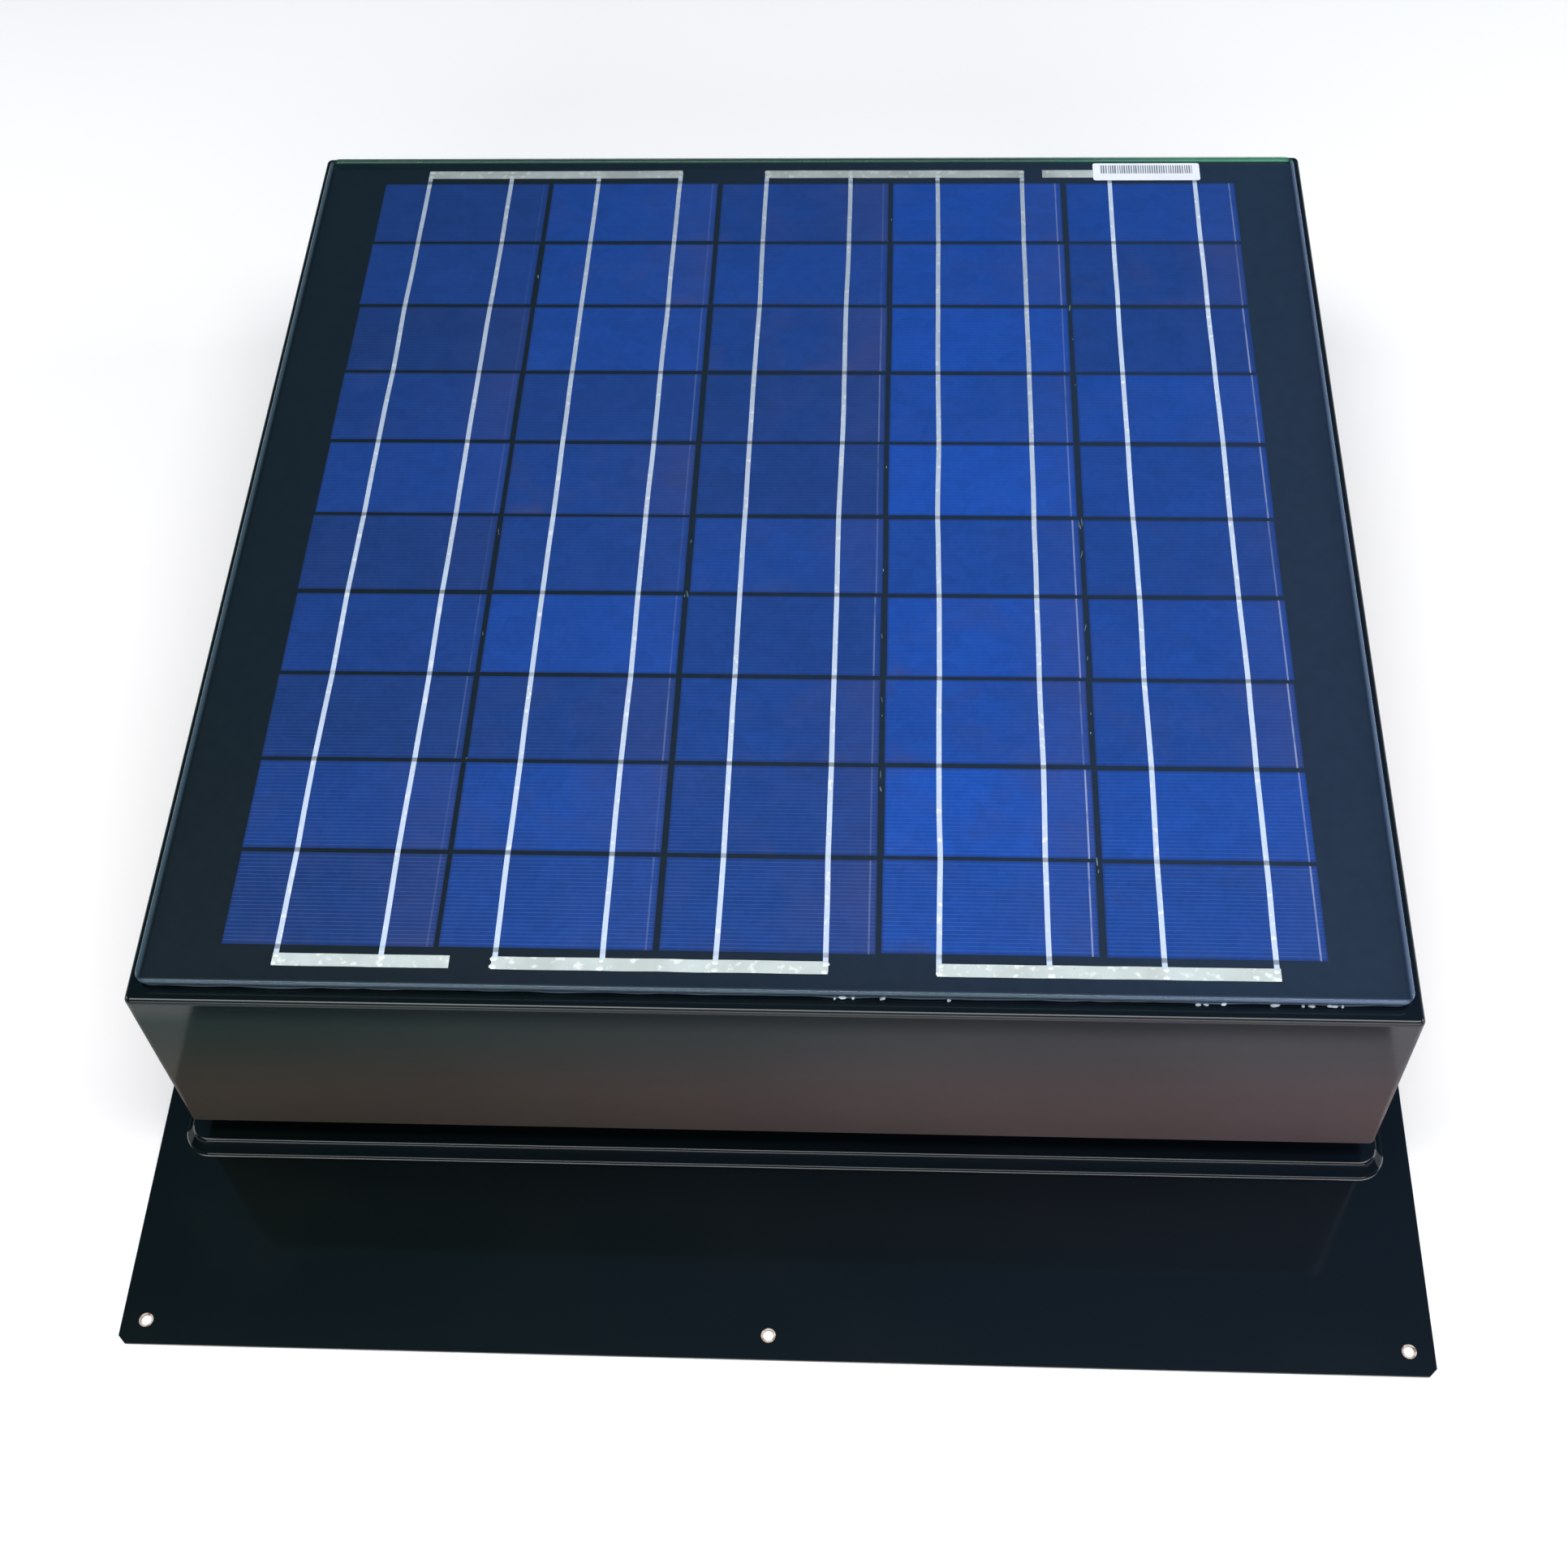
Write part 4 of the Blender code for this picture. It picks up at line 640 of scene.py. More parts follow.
def turned(shape, profile, steps, place=Matrix.Identity(4), closed=False):
    """A profile of (radius, height) points spun about its own axis, then put in place."""
    verts = [shape.verts.new((radius, 0.0, height)) for radius, height in profile]
    edges = [shape.edges.new(pair) for pair in zip(verts, verts[1:])]
    if closed:
        edges.append(shape.edges.new((verts[-1], verts[0])))
    before = set(shape.verts) - set(verts)
    bmesh.ops.spin(shape, geom=verts + edges, cent=(0, 0, 0), axis=UP, dvec=(0, 0, 0), angle=2 * math.pi,
                   steps=steps, use_merge=True, use_duplicate=False)
    fresh = [vert for vert in shape.verts if vert not in before]
    bmesh.ops.remove_doubles(shape, verts=fresh, dist=0.001 * MM)
    fresh = [vert for vert in shape.verts if vert not in before]
    faces = list({face for vert in fresh for face in vert.link_faces})
    bmesh.ops.recalc_face_normals(shape, faces=faces)
    bmesh.ops.transform(shape, matrix=place, verts=fresh)
    return fresh


def arc(radius, height, bend, start, end, steps):
    """(radius, height) points on an arc, angles in degrees from the outward direction."""
    turns = [math.radians(start + (end - start) * step / steps) for step in range(steps + 1)]
    return [(radius + bend * math.cos(turn), height + bend * math.sin(turn)) for turn in turns]


def seat(point, facing):
    """Places a piece modelled about Z at a point, with its head along facing."""
    return Matrix.Translation(point) @ Vector(facing).to_track_quat("Z", "Y").to_matrix().to_4x4()


def refined(node, paint, body, width=0.0, subdivide=0, sharp=32.0):
    """A CAD node's shape as one clean mesh: flat faces joined and crisp edges rounded, or subdivided."""
    shape = bmesh.new()
    shape.from_mesh(frame["nodes"][node].data)
    bmesh.ops.remove_doubles(shape, verts=shape.verts, dist=0.002 * MM)
    if width:
        bmesh.ops.dissolve_limit(shape, angle_limit=math.radians(0.6), verts=shape.verts, edges=shape.edges)
    for face in shape.faces:
        face.material_index = 0
    piece = finished(node + "_finish", shape, [paint], body, [node], sharp)
    if width:
        soften(piece, width)
        even_shading(piece)
    if subdivide:
        rounder = piece.modifiers.new("rounder", "SUBSURF")
        rounder.levels = subdivide
        rounder.render_levels = subdivide
    return piece


# ---- hood
def make_hood(paint):
    """Folded sheet box: soft bends, hemmed lower edge, opening for the junction box."""
    low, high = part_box("hood")
    half = high.x
    top = high.z
    section = arc(half - HOOD_BEND, top - HOOD_BEND, HOOD_BEND, 90, 0, 6)
    section += arc(half - HEM_RADIUS, low.z + HEM_RADIUS, HEM_RADIUS, 0, -180, 6)
    section.append((half - 2 * HEM_RADIUS, low.z + HEM_HEIGHT))
    shape = bmesh.new()
    lid = stacked(shape, [(out, out, HOOD_CORNER - (half - out), z) for out, z in section], 8)[0]

    box_low, box_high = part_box("junction_box")
    cuts = [((box_low.x - BOX_MARGIN, 0, 0), (1, 0, 0)), ((box_high.x + BOX_MARGIN, 0, 0), (1, 0, 0)),
            ((0, box_low.y - BOX_MARGIN, 0), (0, 1, 0)), ((0, box_high.y + BOX_MARGIN, 0), (0, 1, 0))]
    for point, across in cuts:
        flat = [face for face in shape.faces if face.normal.z ** 2 > 0.99 and face.calc_area() > 1e-3
                or face == lid]
        geom = flat + list({edge for face in flat for edge in face.edges})
        geom += list({vert for face in flat for vert in face.verts})
        bmesh.ops.bisect_plane(shape, geom=geom, plane_co=point, plane_no=across)
        shape.normal_update()
    middle = (box_low + box_high) / 2
    window = [face for face in shape.faces if (face.calc_center_median().xy - middle.xy).length < 5 * MM
              and face.calc_center_median().z > top - 1 * MM]
    bmesh.ops.delete(shape, geom=window, context="FACES_ONLY")
    face_along(shape, UP)
    hood = finished("hood_shell", shape, [paint], "housing", ["hood"])
    thicken(hood, SHEET)
    even_shading(hood)


# ---- flashing
def hole_centres(half_x, half_y):
    across = half_x - HOLE_INSET
    along = half_y - HOLE_INSET
    ends = [(x, y) for y in (-along, along) for x in (-across, 0.0, across)]
    return ends + [(-across, 0.0), (across, 0.0)]


def filled(shape, edges, material=0):
    made = bmesh.ops.triangle_fill(shape, edges=edges, use_beauty=True, use_dissolve=False, normal=UP)
    for item in made["geom"]:
        if isinstance(item, bmesh.types.BMFace):
            item.material_index = material


def circle(shape, middle, radius, sides, z):
    made = bmesh.ops.create_circle(shape, segments=sides, radius=radius,
                                   matrix=Matrix.Translation((middle[0], middle[1], z)))
    return list({edge for vert in made["verts"] for edge in vert.link_edges})


def make_flashing(paint, rim_paint):
    """Sheet with a soft raised step, a round throat opening and screw holes with worn rims."""
    low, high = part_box("base_flashing")
    base = low.z + SHEET
    crest = base + STEP_RISE
    lean = math.atan2(STEP_LEAN, STEP_RISE)
    sweep = math.pi / 2 - lean
    reach = STEP_BEND * math.tan(sweep / 2)
    gap = STEP_HALF - STEP_CORNER
    bends = 7
    profile = []
    for step in range(bends + 1):
        angle = sweep * step / bends
        profile.append((STEP_HALF - STEP_LEAN - reach + STEP_BEND * math.sin(angle),
                        crest - STEP_BEND * (1 - math.cos(angle))))
    for step in range(bends + 1):
        angle = sweep * (1 - step / bends)
        profile.append((STEP_HALF + reach - STEP_BEND * math.sin(angle),
                        base + STEP_BEND * (1 - math.cos(angle))))
    shape = bmesh.new()
    rings = [(out, out, out - gap, z) for out, z in profile]
    lid, foot = stacked(shape, rings, 12)
    top = list(lid.edges)
    bmesh.ops.delete(shape, geom=[lid], context="FACES_ONLY")
    filled(shape, top + circle(shape, (0.0, 0.0), THROAT_RADIUS, THROAT_SIDES, crest))

    plain = outline(shape, high.x, high.y, PLATE_CHAMFER, base, 1)
    edges = foot + list(plain.edges)
    bmesh.ops.delete(shape, geom=[plain], context="FACES_ONLY")
    for middle in hole_centres(high.x, high.y):
        rim = circle(shape, middle, HOLE_RADIUS + HOLE_RIM, 28, base)
        edges += rim
        filled(shape, rim + circle(shape, middle, HOLE_RADIUS, 28, base), 1)
    filled(shape, edges)
    face_along(shape, UP)
    flashing = finished("flashing_sheet", shape, [paint, rim_paint], "housing",
                        ["base_flashing"], 60.0)
    thicken(flashing, SHEET)
    even_shading(flashing)


def make_throat(paint):
    """Round collar: foot flange, wall and a rolled upper lip."""
    low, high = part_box("throat_ring")
    flange = high.x
    lip_top = high.z
    inner = THROAT_RADIUS
    outer = inner + SHEET
    lip = inner + THROAT_LIP
    bend = lip_top - THROAT_LIP
    profile = [(flange, low.z + SHEET), (flange, low.z)]
    profile += [(inner + 0.4 * MM, low.z), (inner, low.z + 0.4 * MM)]
    profile += arc(lip, bend, THROAT_LIP, 180, 90, 8) + arc(lip, bend, THROAT_LIP - SHEET, 90, 180, 8)
    profile += [(outer, low.z + SHEET + 0.6 * MM), (outer + 0.6 * MM, low.z + SHEET)]
    shape = bmesh.new()
    turned(shape, profile, THROAT_SIDES, closed=True)
    throat = finished("throat_collar", shape, [paint], "housing", ["throat_ring"])
    soften(throat, 0.2 * MM)


# ---- solar panel
def make_glass(paint):
    """Glass plate with rounded edges."""
    low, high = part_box("panel_glass")
    section = arc(high.x - GLASS_ROUND, low.z + GLASS_ROUND, GLASS_ROUND, -90, 0, 4)
    section += arc(high.x - GLASS_ROUND, high.z - GLASS_ROUND, GLASS_ROUND, 0, 90, 4)
    rings = [(out, out - high.x + high.y, PANEL_CORNER - high.x + out, z) for out, z in section]
    shape = bmesh.new()
    capped(shape, rings, 8)
    glass = finished("panel_glass_plate", shape, [paint], "housing", ["panel_glass"])
    even_shading(glass)


def cell_centres():
    """Column and middle of each cell."""
    for column in range(CELL_COLUMNS):
        for row in range(CELL_ROWS):
            x = (column - (CELL_COLUMNS - 1) / 2) * CELL_PITCH[0]
            y = CELL_MIDDLE_Y + (row - (CELL_ROWS - 1) / 2) * CELL_PITCH[1]
            yield column, x, y


def ribbon_lines():
    """X of each ribbon, left to right: two on each column of cells."""
    lines = []
    for column in range(CELL_COLUMNS):
        middle = (column - (CELL_COLUMNS - 1) / 2) * CELL_PITCH[0]
        lines += [middle + offset + CHANCE.uniform(-0.5, 0.5) * MM for offset in RIBBON_OFFSETS]
    return lines


def make_backsheet(paint):
    """Flat film the size of the laminate; returns the level of its upper face."""
    low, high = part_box("cell_laminate")
    shape = bmesh.new()
    top = low.z + BACKSHEET_THICK
    capped(shape, [(high.x, high.y, PANEL_CORNER, low.z), (high.x, high.y, PANEL_CORNER, top)], 8)
    finished("backsheet", shape, [paint], "housing", ["cell_laminate"])
    return top


def make_cells(paint, base):
    """Fifty thin cells, none laid quite true; each carries its own tone and its own map."""
    shape = bmesh.new()
    tone = shape.faces.layers.float.new("cell_tone")
    warmth = shape.faces.layers.float.new("cell_warmth")
    edging = shape.faces.layers.float.new("cell_edging")
    cell_map = shape.loops.layers.uv.new("cell_uv")
    half_x = CELL_SIZE[0] / 2
    half_y = CELL_SIZE[1] / 2
    for column, x, y in cell_centres():
        verts = plate(shape, (-half_x, -half_y, base), (half_x, half_y, base + CELL_THICK))
        tones = (min(1.0, max(0.0, COLUMN_TONE[column] + CHANCE.uniform(-TONE_SPREAD, TONE_SPREAD))),
                 CHANCE.uniform(0.1, 1.0) ** 1.5, COLUMN_EDGING[column] * CHANCE.uniform(0.3, 1.3))
        faces = list({face for vert in verts for face in vert.link_faces})
        for face in faces:
            face[tone], face[warmth], face[edging] = tones
            for corner in face.loops:
                point = corner.vert.co
                corner[cell_map].uv = (point.x / CELL_SIZE[0] + 0.5, point.y / CELL_SIZE[1] + 0.5)
        laid = (x + CHANCE.uniform(-CELL_SHIFT, CELL_SHIFT), y + CHANCE.uniform(-CELL_SHIFT, CELL_SHIFT), 0.0)
        twist = math.radians(CHANCE.uniform(-CELL_TWIST, CELL_TWIST))
        bmesh.ops.transform(shape, verts=verts,
                            matrix=Matrix.Translation(laid) @ Matrix.Rotation(twist, 4, "Z"))
    finished("solar_cells", shape, [paint], "housing")
    return base + CELL_THICK


def make_ribbons(paint, base, lines):
    """Tinned ribbons, each one a crowned strip that wanders and kinks a little at the cell gaps."""
    shape = bmesh.new()
    first = BUS_FRONT - BUS_WIDTH * 0.3
    last = BUS_BACK + BUS_WIDTH * 0.3
    cuts = CELL_ROWS * 8
    for x in lines:
        made = bmesh.ops.create_grid(shape, x_segments=3, y_segments=cuts, size=1.0, matrix=placed(
            (x, (first + last) / 2, base + RIBBON_THICK), (RIBBON_WIDTH / 2, (last - first) / 2, 1.0)))
        drift = [CHANCE.uniform(-0.45, 0.45) * MM for _ in range(CELL_ROWS + 1)]
        for vert in made["verts"]:
            steps = (vert.co.y - CELL_MIDDLE_Y) / CELL_PITCH[1] + CELL_ROWS / 2
            row = min(CELL_ROWS - 1, max(0, math.floor(steps)))
            share = steps - row
            wander = drift[row] * (1 - share) + drift[row + 1] * share
            if abs(vert.co.x - x) > RIBBON_WIDTH * 0.4:
                vert.co.z -= RIBBON_THICK * 0.45
            vert.co.x += wander + noise.noise(Vector((x * 50, vert.co.y * 28, 0.0))) * 0.25 * MM
            vert.co.z += noise.noise(Vector((x * 50, vert.co.y * 90, 4.0))) * 0.03 * MM
    strip = finished("cell_ribbons", shape, [paint], "housing", sharp=60.0)
    thicken(strip, RIBBON_THICK * 0.5)


def make_buses(paint, solder_paint, base, lines):
    """Cross ribbons that join the strings, with a lump of solder at each joint."""
    reach = RIBBON_WIDTH / 2
    shape = bmesh.new()
    for y, first, last, before, after in BUS_RUNS:
        start = lines[first] - reach - before
        end = lines[last] + reach + after
        made = bmesh.ops.create_grid(shape, x_segments=48, y_segments=4, size=1.0, matrix=placed(
            ((start + end) / 2, y, base + BUS_THICK), ((end - start) / 2, BUS_WIDTH / 2, 1.0)))
        skew = CHANCE.uniform(-0.6, 0.6) * MM
        for vert in made["verts"]:
            along = (vert.co.x - start) / (end - start) - 0.5
            vert.co.y += skew * along + noise.noise(Vector((vert.co.x * 40, y * 9, 0.0))) * 0.25 * MM
            near = min(abs(vert.co.x - line) for line in lines[first:last + 1])
            swell = max(0.0, 1 - near / (3.2 * MM)) * 0.10 * MM
            vert.co.z += swell + noise.noise(vert.co * 260) * 0.03 * MM
    bus = finished("bus_ribbons", shape, [paint], "housing", sharp=60.0)
    thicken(bus, BUS_THICK * 0.5)
    shape = bmesh.new()
    for y, first, last, _, _ in BUS_RUNS:
        for line in lines[first:last + 1]:
            for side in (-1, 1):
                size = CHANCE.uniform(1.2, 2.0) * MM
                joint = (line + CHANCE.uniform(-0.5, 0.5) * MM, y + side * BUS_WIDTH * 0.3, base + BUS_THICK)
                made = bmesh.ops.create_icosphere(shape, subdivisions=2, radius=1.0,
                                                  matrix=placed(joint, (size, size * 0.8, 0.16 * MM)))
                for vert in made["verts"]:
                    vert.co.x += noise.noise(vert.co * 900) * 0.3 * MM
                    vert.co.y += noise.noise(vert.co * 800) * 0.3 * MM
    finished("bus_solder", shape, [solder_paint], "housing", sharp=70.0)


def make_flecks(paint, base):
    """Slivers of stray solder and glass fibre caught in the gaps between the strings of cells."""
    shape = bmesh.new()
    gap = CELL_PITCH[0] - CELL_SIZE[0]
    for _ in range(FLECK_COUNT):
        column = CHANCE.choice((1, 2, 3, 3, 4, 4, 4))
        x = (column - CELL_COLUMNS / 2) * CELL_PITCH[0] + CHANCE.uniform(-0.4, 0.4) * gap
        y = CHANCE.triangular(-0.27, 0.27, -0.22)
        turn = Matrix.Rotation(CHANCE.uniform(-0.25, 0.25), 4, "Z")
        size = (CHANCE.uniform(0.2, 0.45) * MM, CHANCE.uniform(0.5, 3.5) * MM, 0.1 * MM)
        bmesh.ops.create_icosphere(shape, subdivisions=1, radius=1.0,
                                   matrix=Matrix.Translation((x, y, base)) @ turn @ placed((0, 0, 0), size))
    finished("gap_flecks", shape, [paint], "housing", sharp=80.0)


def make_label(paint, base):
    shape = bmesh.new()
    half_x, half_y = (side / 2 for side in LABEL_SIZE)
    capped(shape, [(half_x, half_y, LABEL_CORNER, z) for z in (base, base + LABEL_THICK)], 4, LABEL_MIDDLE)
    finished("plain_label", shape, [paint], "housing")


def make_seal(paint, lump_paint):
    """Bead of sealant between panel and hood, bulging unevenly; lumps squeezed out in front, coloured pale as
    a painted highlight.
    """
    low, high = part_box("panel_seal")
    rise = (high.z - low.z) / 2
    section = arc(-rise, (low.z + high.z) / 2, rise, -90, 90, 6)
    section += [(-SEAL_BREADTH, high.z), (-SEAL_BREADTH, low.z)]
    shape = bmesh.new()
    first, last = stacked(shape, [(high.x + out, high.y + out, PANEL_CORNER, z) for out, z in section], 8)
    start = list(first.edges)
    bmesh.ops.delete(shape, geom=[first], context="FACES_ONLY")
    bmesh.ops.bridge_loops(shape, edges=start + last)
    long_edges = [edge for edge in shape.edges if edge.calc_length() > 0.3]
    bmesh.ops.subdivide_edges(shape, edges=long_edges, cuts=160, use_grid_fill=True)
    for vert in shape.verts:
        outer = max(abs(vert.co.x) - high.x, abs(vert.co.y) - high.y) > -3 * MM
        if outer and low.z + 0.1 * MM < vert.co.z < high.z - 0.1 * MM:
            swell = (0.35 + 0.65 * abs(noise.noise(vert.co * 45))) * SEAL_SWELL
            if abs(vert.co.y) - high.y > abs(vert.co.x) - high.x:
                vert.co.y += math.copysign(swell, vert.co.y)
            else:
                vert.co.x += math.copysign(swell, vert.co.x)
    bmesh.ops.recalc_face_normals(shape, faces=shape.faces)
    finished("seal_bead", shape, [paint], "housing", ["panel_seal"], 70.0)

    # Lumps of sealant; their pale colour is a painted highlight.
    shape = bmesh.new()
    for lump in range(LUMP_COUNT):
        x = CHANCE.triangular(0.19, 0.292, 0.27) if lump % 3 else CHANCE.uniform(0.03, 0.09)
        size = CHANCE.uniform(0.4, 1.0) * MM
        middle = (x, low.y - 1.1 * MM, low.z + 0.7 * MM + CHANCE.uniform(-0.3, 0.5) * MM)
        made = bmesh.ops.create_icosphere(shape, subdivisions=3, radius=1.0, matrix=placed(
            middle, (size * CHANCE.uniform(1.0, 2.6), 1.0 * MM, 0.75 * MM)))
        for vert in made["verts"]:
            vert.co += Vector((1.0, 0.35, 0.35)) * noise.noise(vert.co * 700) * 0.5 * MM
    finished("seal_lumps", shape, [lump_paint], "housing", sharp=80.0)


# ---- insect screens
def window_edges(low, high, count):
    """Where a row of punched windows starts and ends, between the two outer edges of its frame."""
    window = (high - low - 2 * SCREEN_RIM - SCREEN_BAR * (count - 1)) / count
    edges = [low]
    for place in range(count):
        start = low + SCREEN_RIM + place * (window + SCREEN_BAR)
        edges += [start, start + window]
    return edges + [high]


def make_screens(frame_paint, wire_paint):
    """Four punched frames with folded ends, each backed with welded wire cloth."""
    low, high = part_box("insect_screen_back")
    inner = high.y - SCREEN_SHEET
    tab = inner - low.y
    fold = high.x - SCREEN_SHEET * math.sqrt(0.5) - tab
    bottom, top = low.z, high.z
    across = window_edges(-fold, fold, SCREEN_COLUMNS)
    levels = window_edges(bottom, top, SCREEN_ROWS)
    columns = len(across) - 1
    rows = len(levels) - 1
    for place, angle in (("back", 0), ("left", 90), ("front", 180), ("right", 270)):
        turn = Matrix.Rotation(math.radians(angle), 4, "Z")
        shape = bmesh.new()
        bmesh.ops.create_grid(shape, x_segments=columns, y_segments=rows, size=1.0)
        windows = []
        for face in shape.faces:
            middle = face.calc_center_median()
            column = math.floor((middle.x + 1) / 2 * columns)
            row = math.floor((middle.y + 1) / 2 * rows)
            if column % 2 and row % 2:
                windows.append(face)
        for vert in shape.verts:
            column = round((vert.co.x + 1) / 2 * columns)
            row = round((vert.co.y + 1) / 2 * rows)
            vert.co = (across[column], inner, levels[row])
        bmesh.ops.delete(shape, geom=windows, context="FACES_ONLY")
        for side in (-1, 1):
            ends = []
            for edge in shape.edges:
                level = (edge.verts[0].co.z + edge.verts[1].co.z) / 2
                at_end = all(abs(vert.co.x - side * fold) < 1e-6 for vert in edge.verts)
                if edge.is_boundary and at_end and bottom + SCREEN_RIM / 2 < level < top - SCREEN_RIM / 2:
                    ends.append(edge)
            verts = verts_of(bmesh.ops.extrude_edge_only(shape, edges=ends))
            bmesh.ops.translate(shape, verts=verts, vec=(side * tab, -tab, 0.0))
        bmesh.ops.delete(shape, geom=[vert for vert in shape.verts if not vert.link_faces], context="VERTS")
        face_along(shape, Vector((0.0, 1.0, 0.0)))
        bmesh.ops.transform(shape, matrix=turn, verts=shape.verts)
        screen = finished("screen_frame_" + place, shape, [frame_paint], "housing",
                          ["insect_screen_" + place])
        thicken(screen, SCREEN_SHEET, 1.0)
        soften(screen, 0.2 * MM, 1)

        shape = bmesh.new()
        width = 2 * fold - 6 * MM
        height = top - bottom - 4 * MM
        middle_z = (top + bottom) / 2
        for count, length, spread in ((width, height, "upright"), (height, width, "level")):
            wires = int(count / WIRE_PITCH)
            for wire in range(wires + 1):
                offset = (wire - wires / 2) * WIRE_PITCH
                if spread == "upright":
                    wire_place = Matrix.Translation((offset, inner - 1.5 * WIRE_RADIUS, middle_z))
                else:
                    wire_place = (Matrix.Translation((0.0, inner - 3.3 * WIRE_RADIUS, middle_z + offset))
                                  @ Matrix.Rotation(math.pi / 2, 4, "Y"))
                bmesh.ops.create_cone(shape, cap_ends=True, segments=6, radius1=WIRE_RADIUS,
                                      radius2=WIRE_RADIUS, depth=length, matrix=turn @ wire_place)
        finished("screen_wires_" + place, shape, [wire_paint], "housing", sharp=80.0)


# ---- fan
def wing_pitch(radius):
    along = min(max((radius - WING_ROOT) / (WING_TIP - WING_ROOT), 0.0), 1.0)
    full = WING_PITCH[0] + (WING_PITCH[1] - WING_PITCH[0]) * along
    rise = min(max((radius - WING_RISE[0]) / (WING_RISE[1] - WING_RISE[0]), 0.0), 1.0)
    return math.radians(full * rise * rise * (3 - 2 * rise))


def wing_point(radius, across):
    """A point of the blade's lower face."""
    pitch = wing_pitch(radius)
    turn = across * math.cos(pitch) / radius
    z = WING_Z + across * math.sin(pitch) + WING_CURVE * across * across
    return Vector((radius * math.cos(turn), radius * math.sin(turn), z))


def wing_turn(wing):
    return Matrix.Rotation(2 * math.pi / WING_COUNT * wing, 4, "Z")


def make_blades(paint):
    """Pressed sheet blades, twisted and cambered, with rounded tips."""
    for wing in range(WING_COUNT):
        shape = bmesh.new()
        bmesh.ops.create_grid(shape, x_segments=26, y_segments=24, size=1.0)
        for vert in shape.verts:
            along = (vert.co.x + 1) / 2
            side = vert.co.y
            half = WING_HALF_CHORD[0] + (WING_HALF_CHORD[1] - WING_HALF_CHORD[0]) * math.sqrt(along)
            radius = WING_ROOT + along * (WING_TIP - WING_ROOT - WING_CORNER * side ** 4)
            vert.co = wing_point(radius, half * side)
        face_along(shape, UP)
        bmesh.ops.transform(shape, matrix=wing_turn(wing), verts=shape.verts)
        name = "fan_blade_%d" % (wing + 1)
        blade = finished(name + "_finish", shape, [paint], "fan", [name], 60.0)
        thicken(blade, WING_SHEET, 1.0)
        soften(blade, 0.35 * MM, 2, 50.0)


def make_blade_rivets(paint):
    """Flat-domed rivets that hold each blade on its tongue."""
    shape = bmesh.new()
    head = [(0.0, 1.1 * MM), (0.9 * MM, 1.05 * MM), (1.9 * MM, 0.8 * MM), (2.6 * MM, 0.3 * MM),
            (2.7 * MM, 0.0), (1.4 * MM, 0.0), (1.4 * MM, -5.0 * MM), (0.0, -5.0 * MM)]
    for wing in range(WING_COUNT):
        for radius, across in TONGUE_RIVETS:
            point = wing_point(radius, across)
            outward = wing_point(radius + 1 * MM, across) - point
            sideways = wing_point(radius, across + 1 * MM) - point
            facing = outward.cross(sideways).normalized()
            turned(shape, head, 16, wing_turn(wing) @ seat(point + facing * WING_SHEET, facing))
    finished("blade_rivets", shape, [paint], "fan", sharp=40.0)


# ---- fasteners
def rivet_profile(length):
    """Domed blind rivet with the broken stem in its head; the head's top is at zero."""
    dome = [(0.0, -0.7 * MM), (1.0 * MM, -0.7 * MM), (1.15 * MM, -0.05 * MM)]
    for step in range(1, 6):
        turn = math.pi / 2 * step / 5
        dome.append((1.2 * MM + 3.0 * MM * math.sin(turn), -1.2 * MM + 1.2 * MM * math.cos(turn)))
    tail = -length
    return dome + [(4.1 * MM, -1.35 * MM), (2.0 * MM, -1.4 * MM), (2.0 * MM, tail + 1.8 * MM),
                   (3.0 * MM, tail + 1.5 * MM), (2.7 * MM, tail + 0.3 * MM), (1.2 * MM, tail), (0.0, tail)]


def fasteners(kind):
    """Name, box corners and middle of each CAD node of a kind."""
    for node in sorted(frame["nodes"]):
        if kind in node:
            low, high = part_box(node)
            yield node, low, high, (low + high) / 2


def make_rivets(paint):
    for node, low, high, middle in fasteners("_rivet_"):
        shape = bmesh.new()
        turned(shape, rivet_profile(high.z - low.z), 24, seat((middle.x, middle.y, high.z), UP))
        finished(node + "_finish", shape, [paint], "housing", [node], 40.0)


def make_screws(paint):
    """Hex washer-head screws: flange, six-sided head with a dished top, ringed shank."""
    for node, low, high, middle in fasteners("_screw_"):
        if node.startswith("bracket"):
            facing = -Vector((middle.x, middle.y, 0.0)).normalized()
            length = SCREW_LENGTH
        else:
            facing = -UP
            length = high.z - low.z
        place = seat(middle + facing * length / 2, facing)
        profile = [(0.0, -1.0 * MM), (3.3 * MM, -1.0 * MM), (4.0 * MM, -1.7 * MM), (4.0 * MM, -2.2 * MM),
                   (2.0 * MM, -2.2 * MM)]
        level = -2.6 * MM
        while level > -length + 1.6 * MM:
            profile += [(1.65 * MM, level), (2.0 * MM, level - 0.4 * MM)]
            level -= SCREW_THREAD
        profile += [(1.2 * MM, -length + 0.3 * MM), (0.0, -length)]
        shape = bmesh.new()
        turned(shape, profile, 20, place)
        made = bmesh.ops.create_cone(shape, cap_ends=True, segments=6, radius1=2.9 * MM, radius2=2.8 * MM,
                                     depth=1.2 * MM, matrix=place @ Matrix.Translation((0, 0, -0.6 * MM)))
        cap = max({face for vert in made["verts"] for face in vert.link_faces},
                  key=lambda face: face.calc_center_median().dot(facing))
        bmesh.ops.inset_region(shape, faces=[cap], thickness=0.9 * MM, depth=-0.35 * MM)
        finished(node + "_finish", shape, [paint], "housing", [node], 35.0)


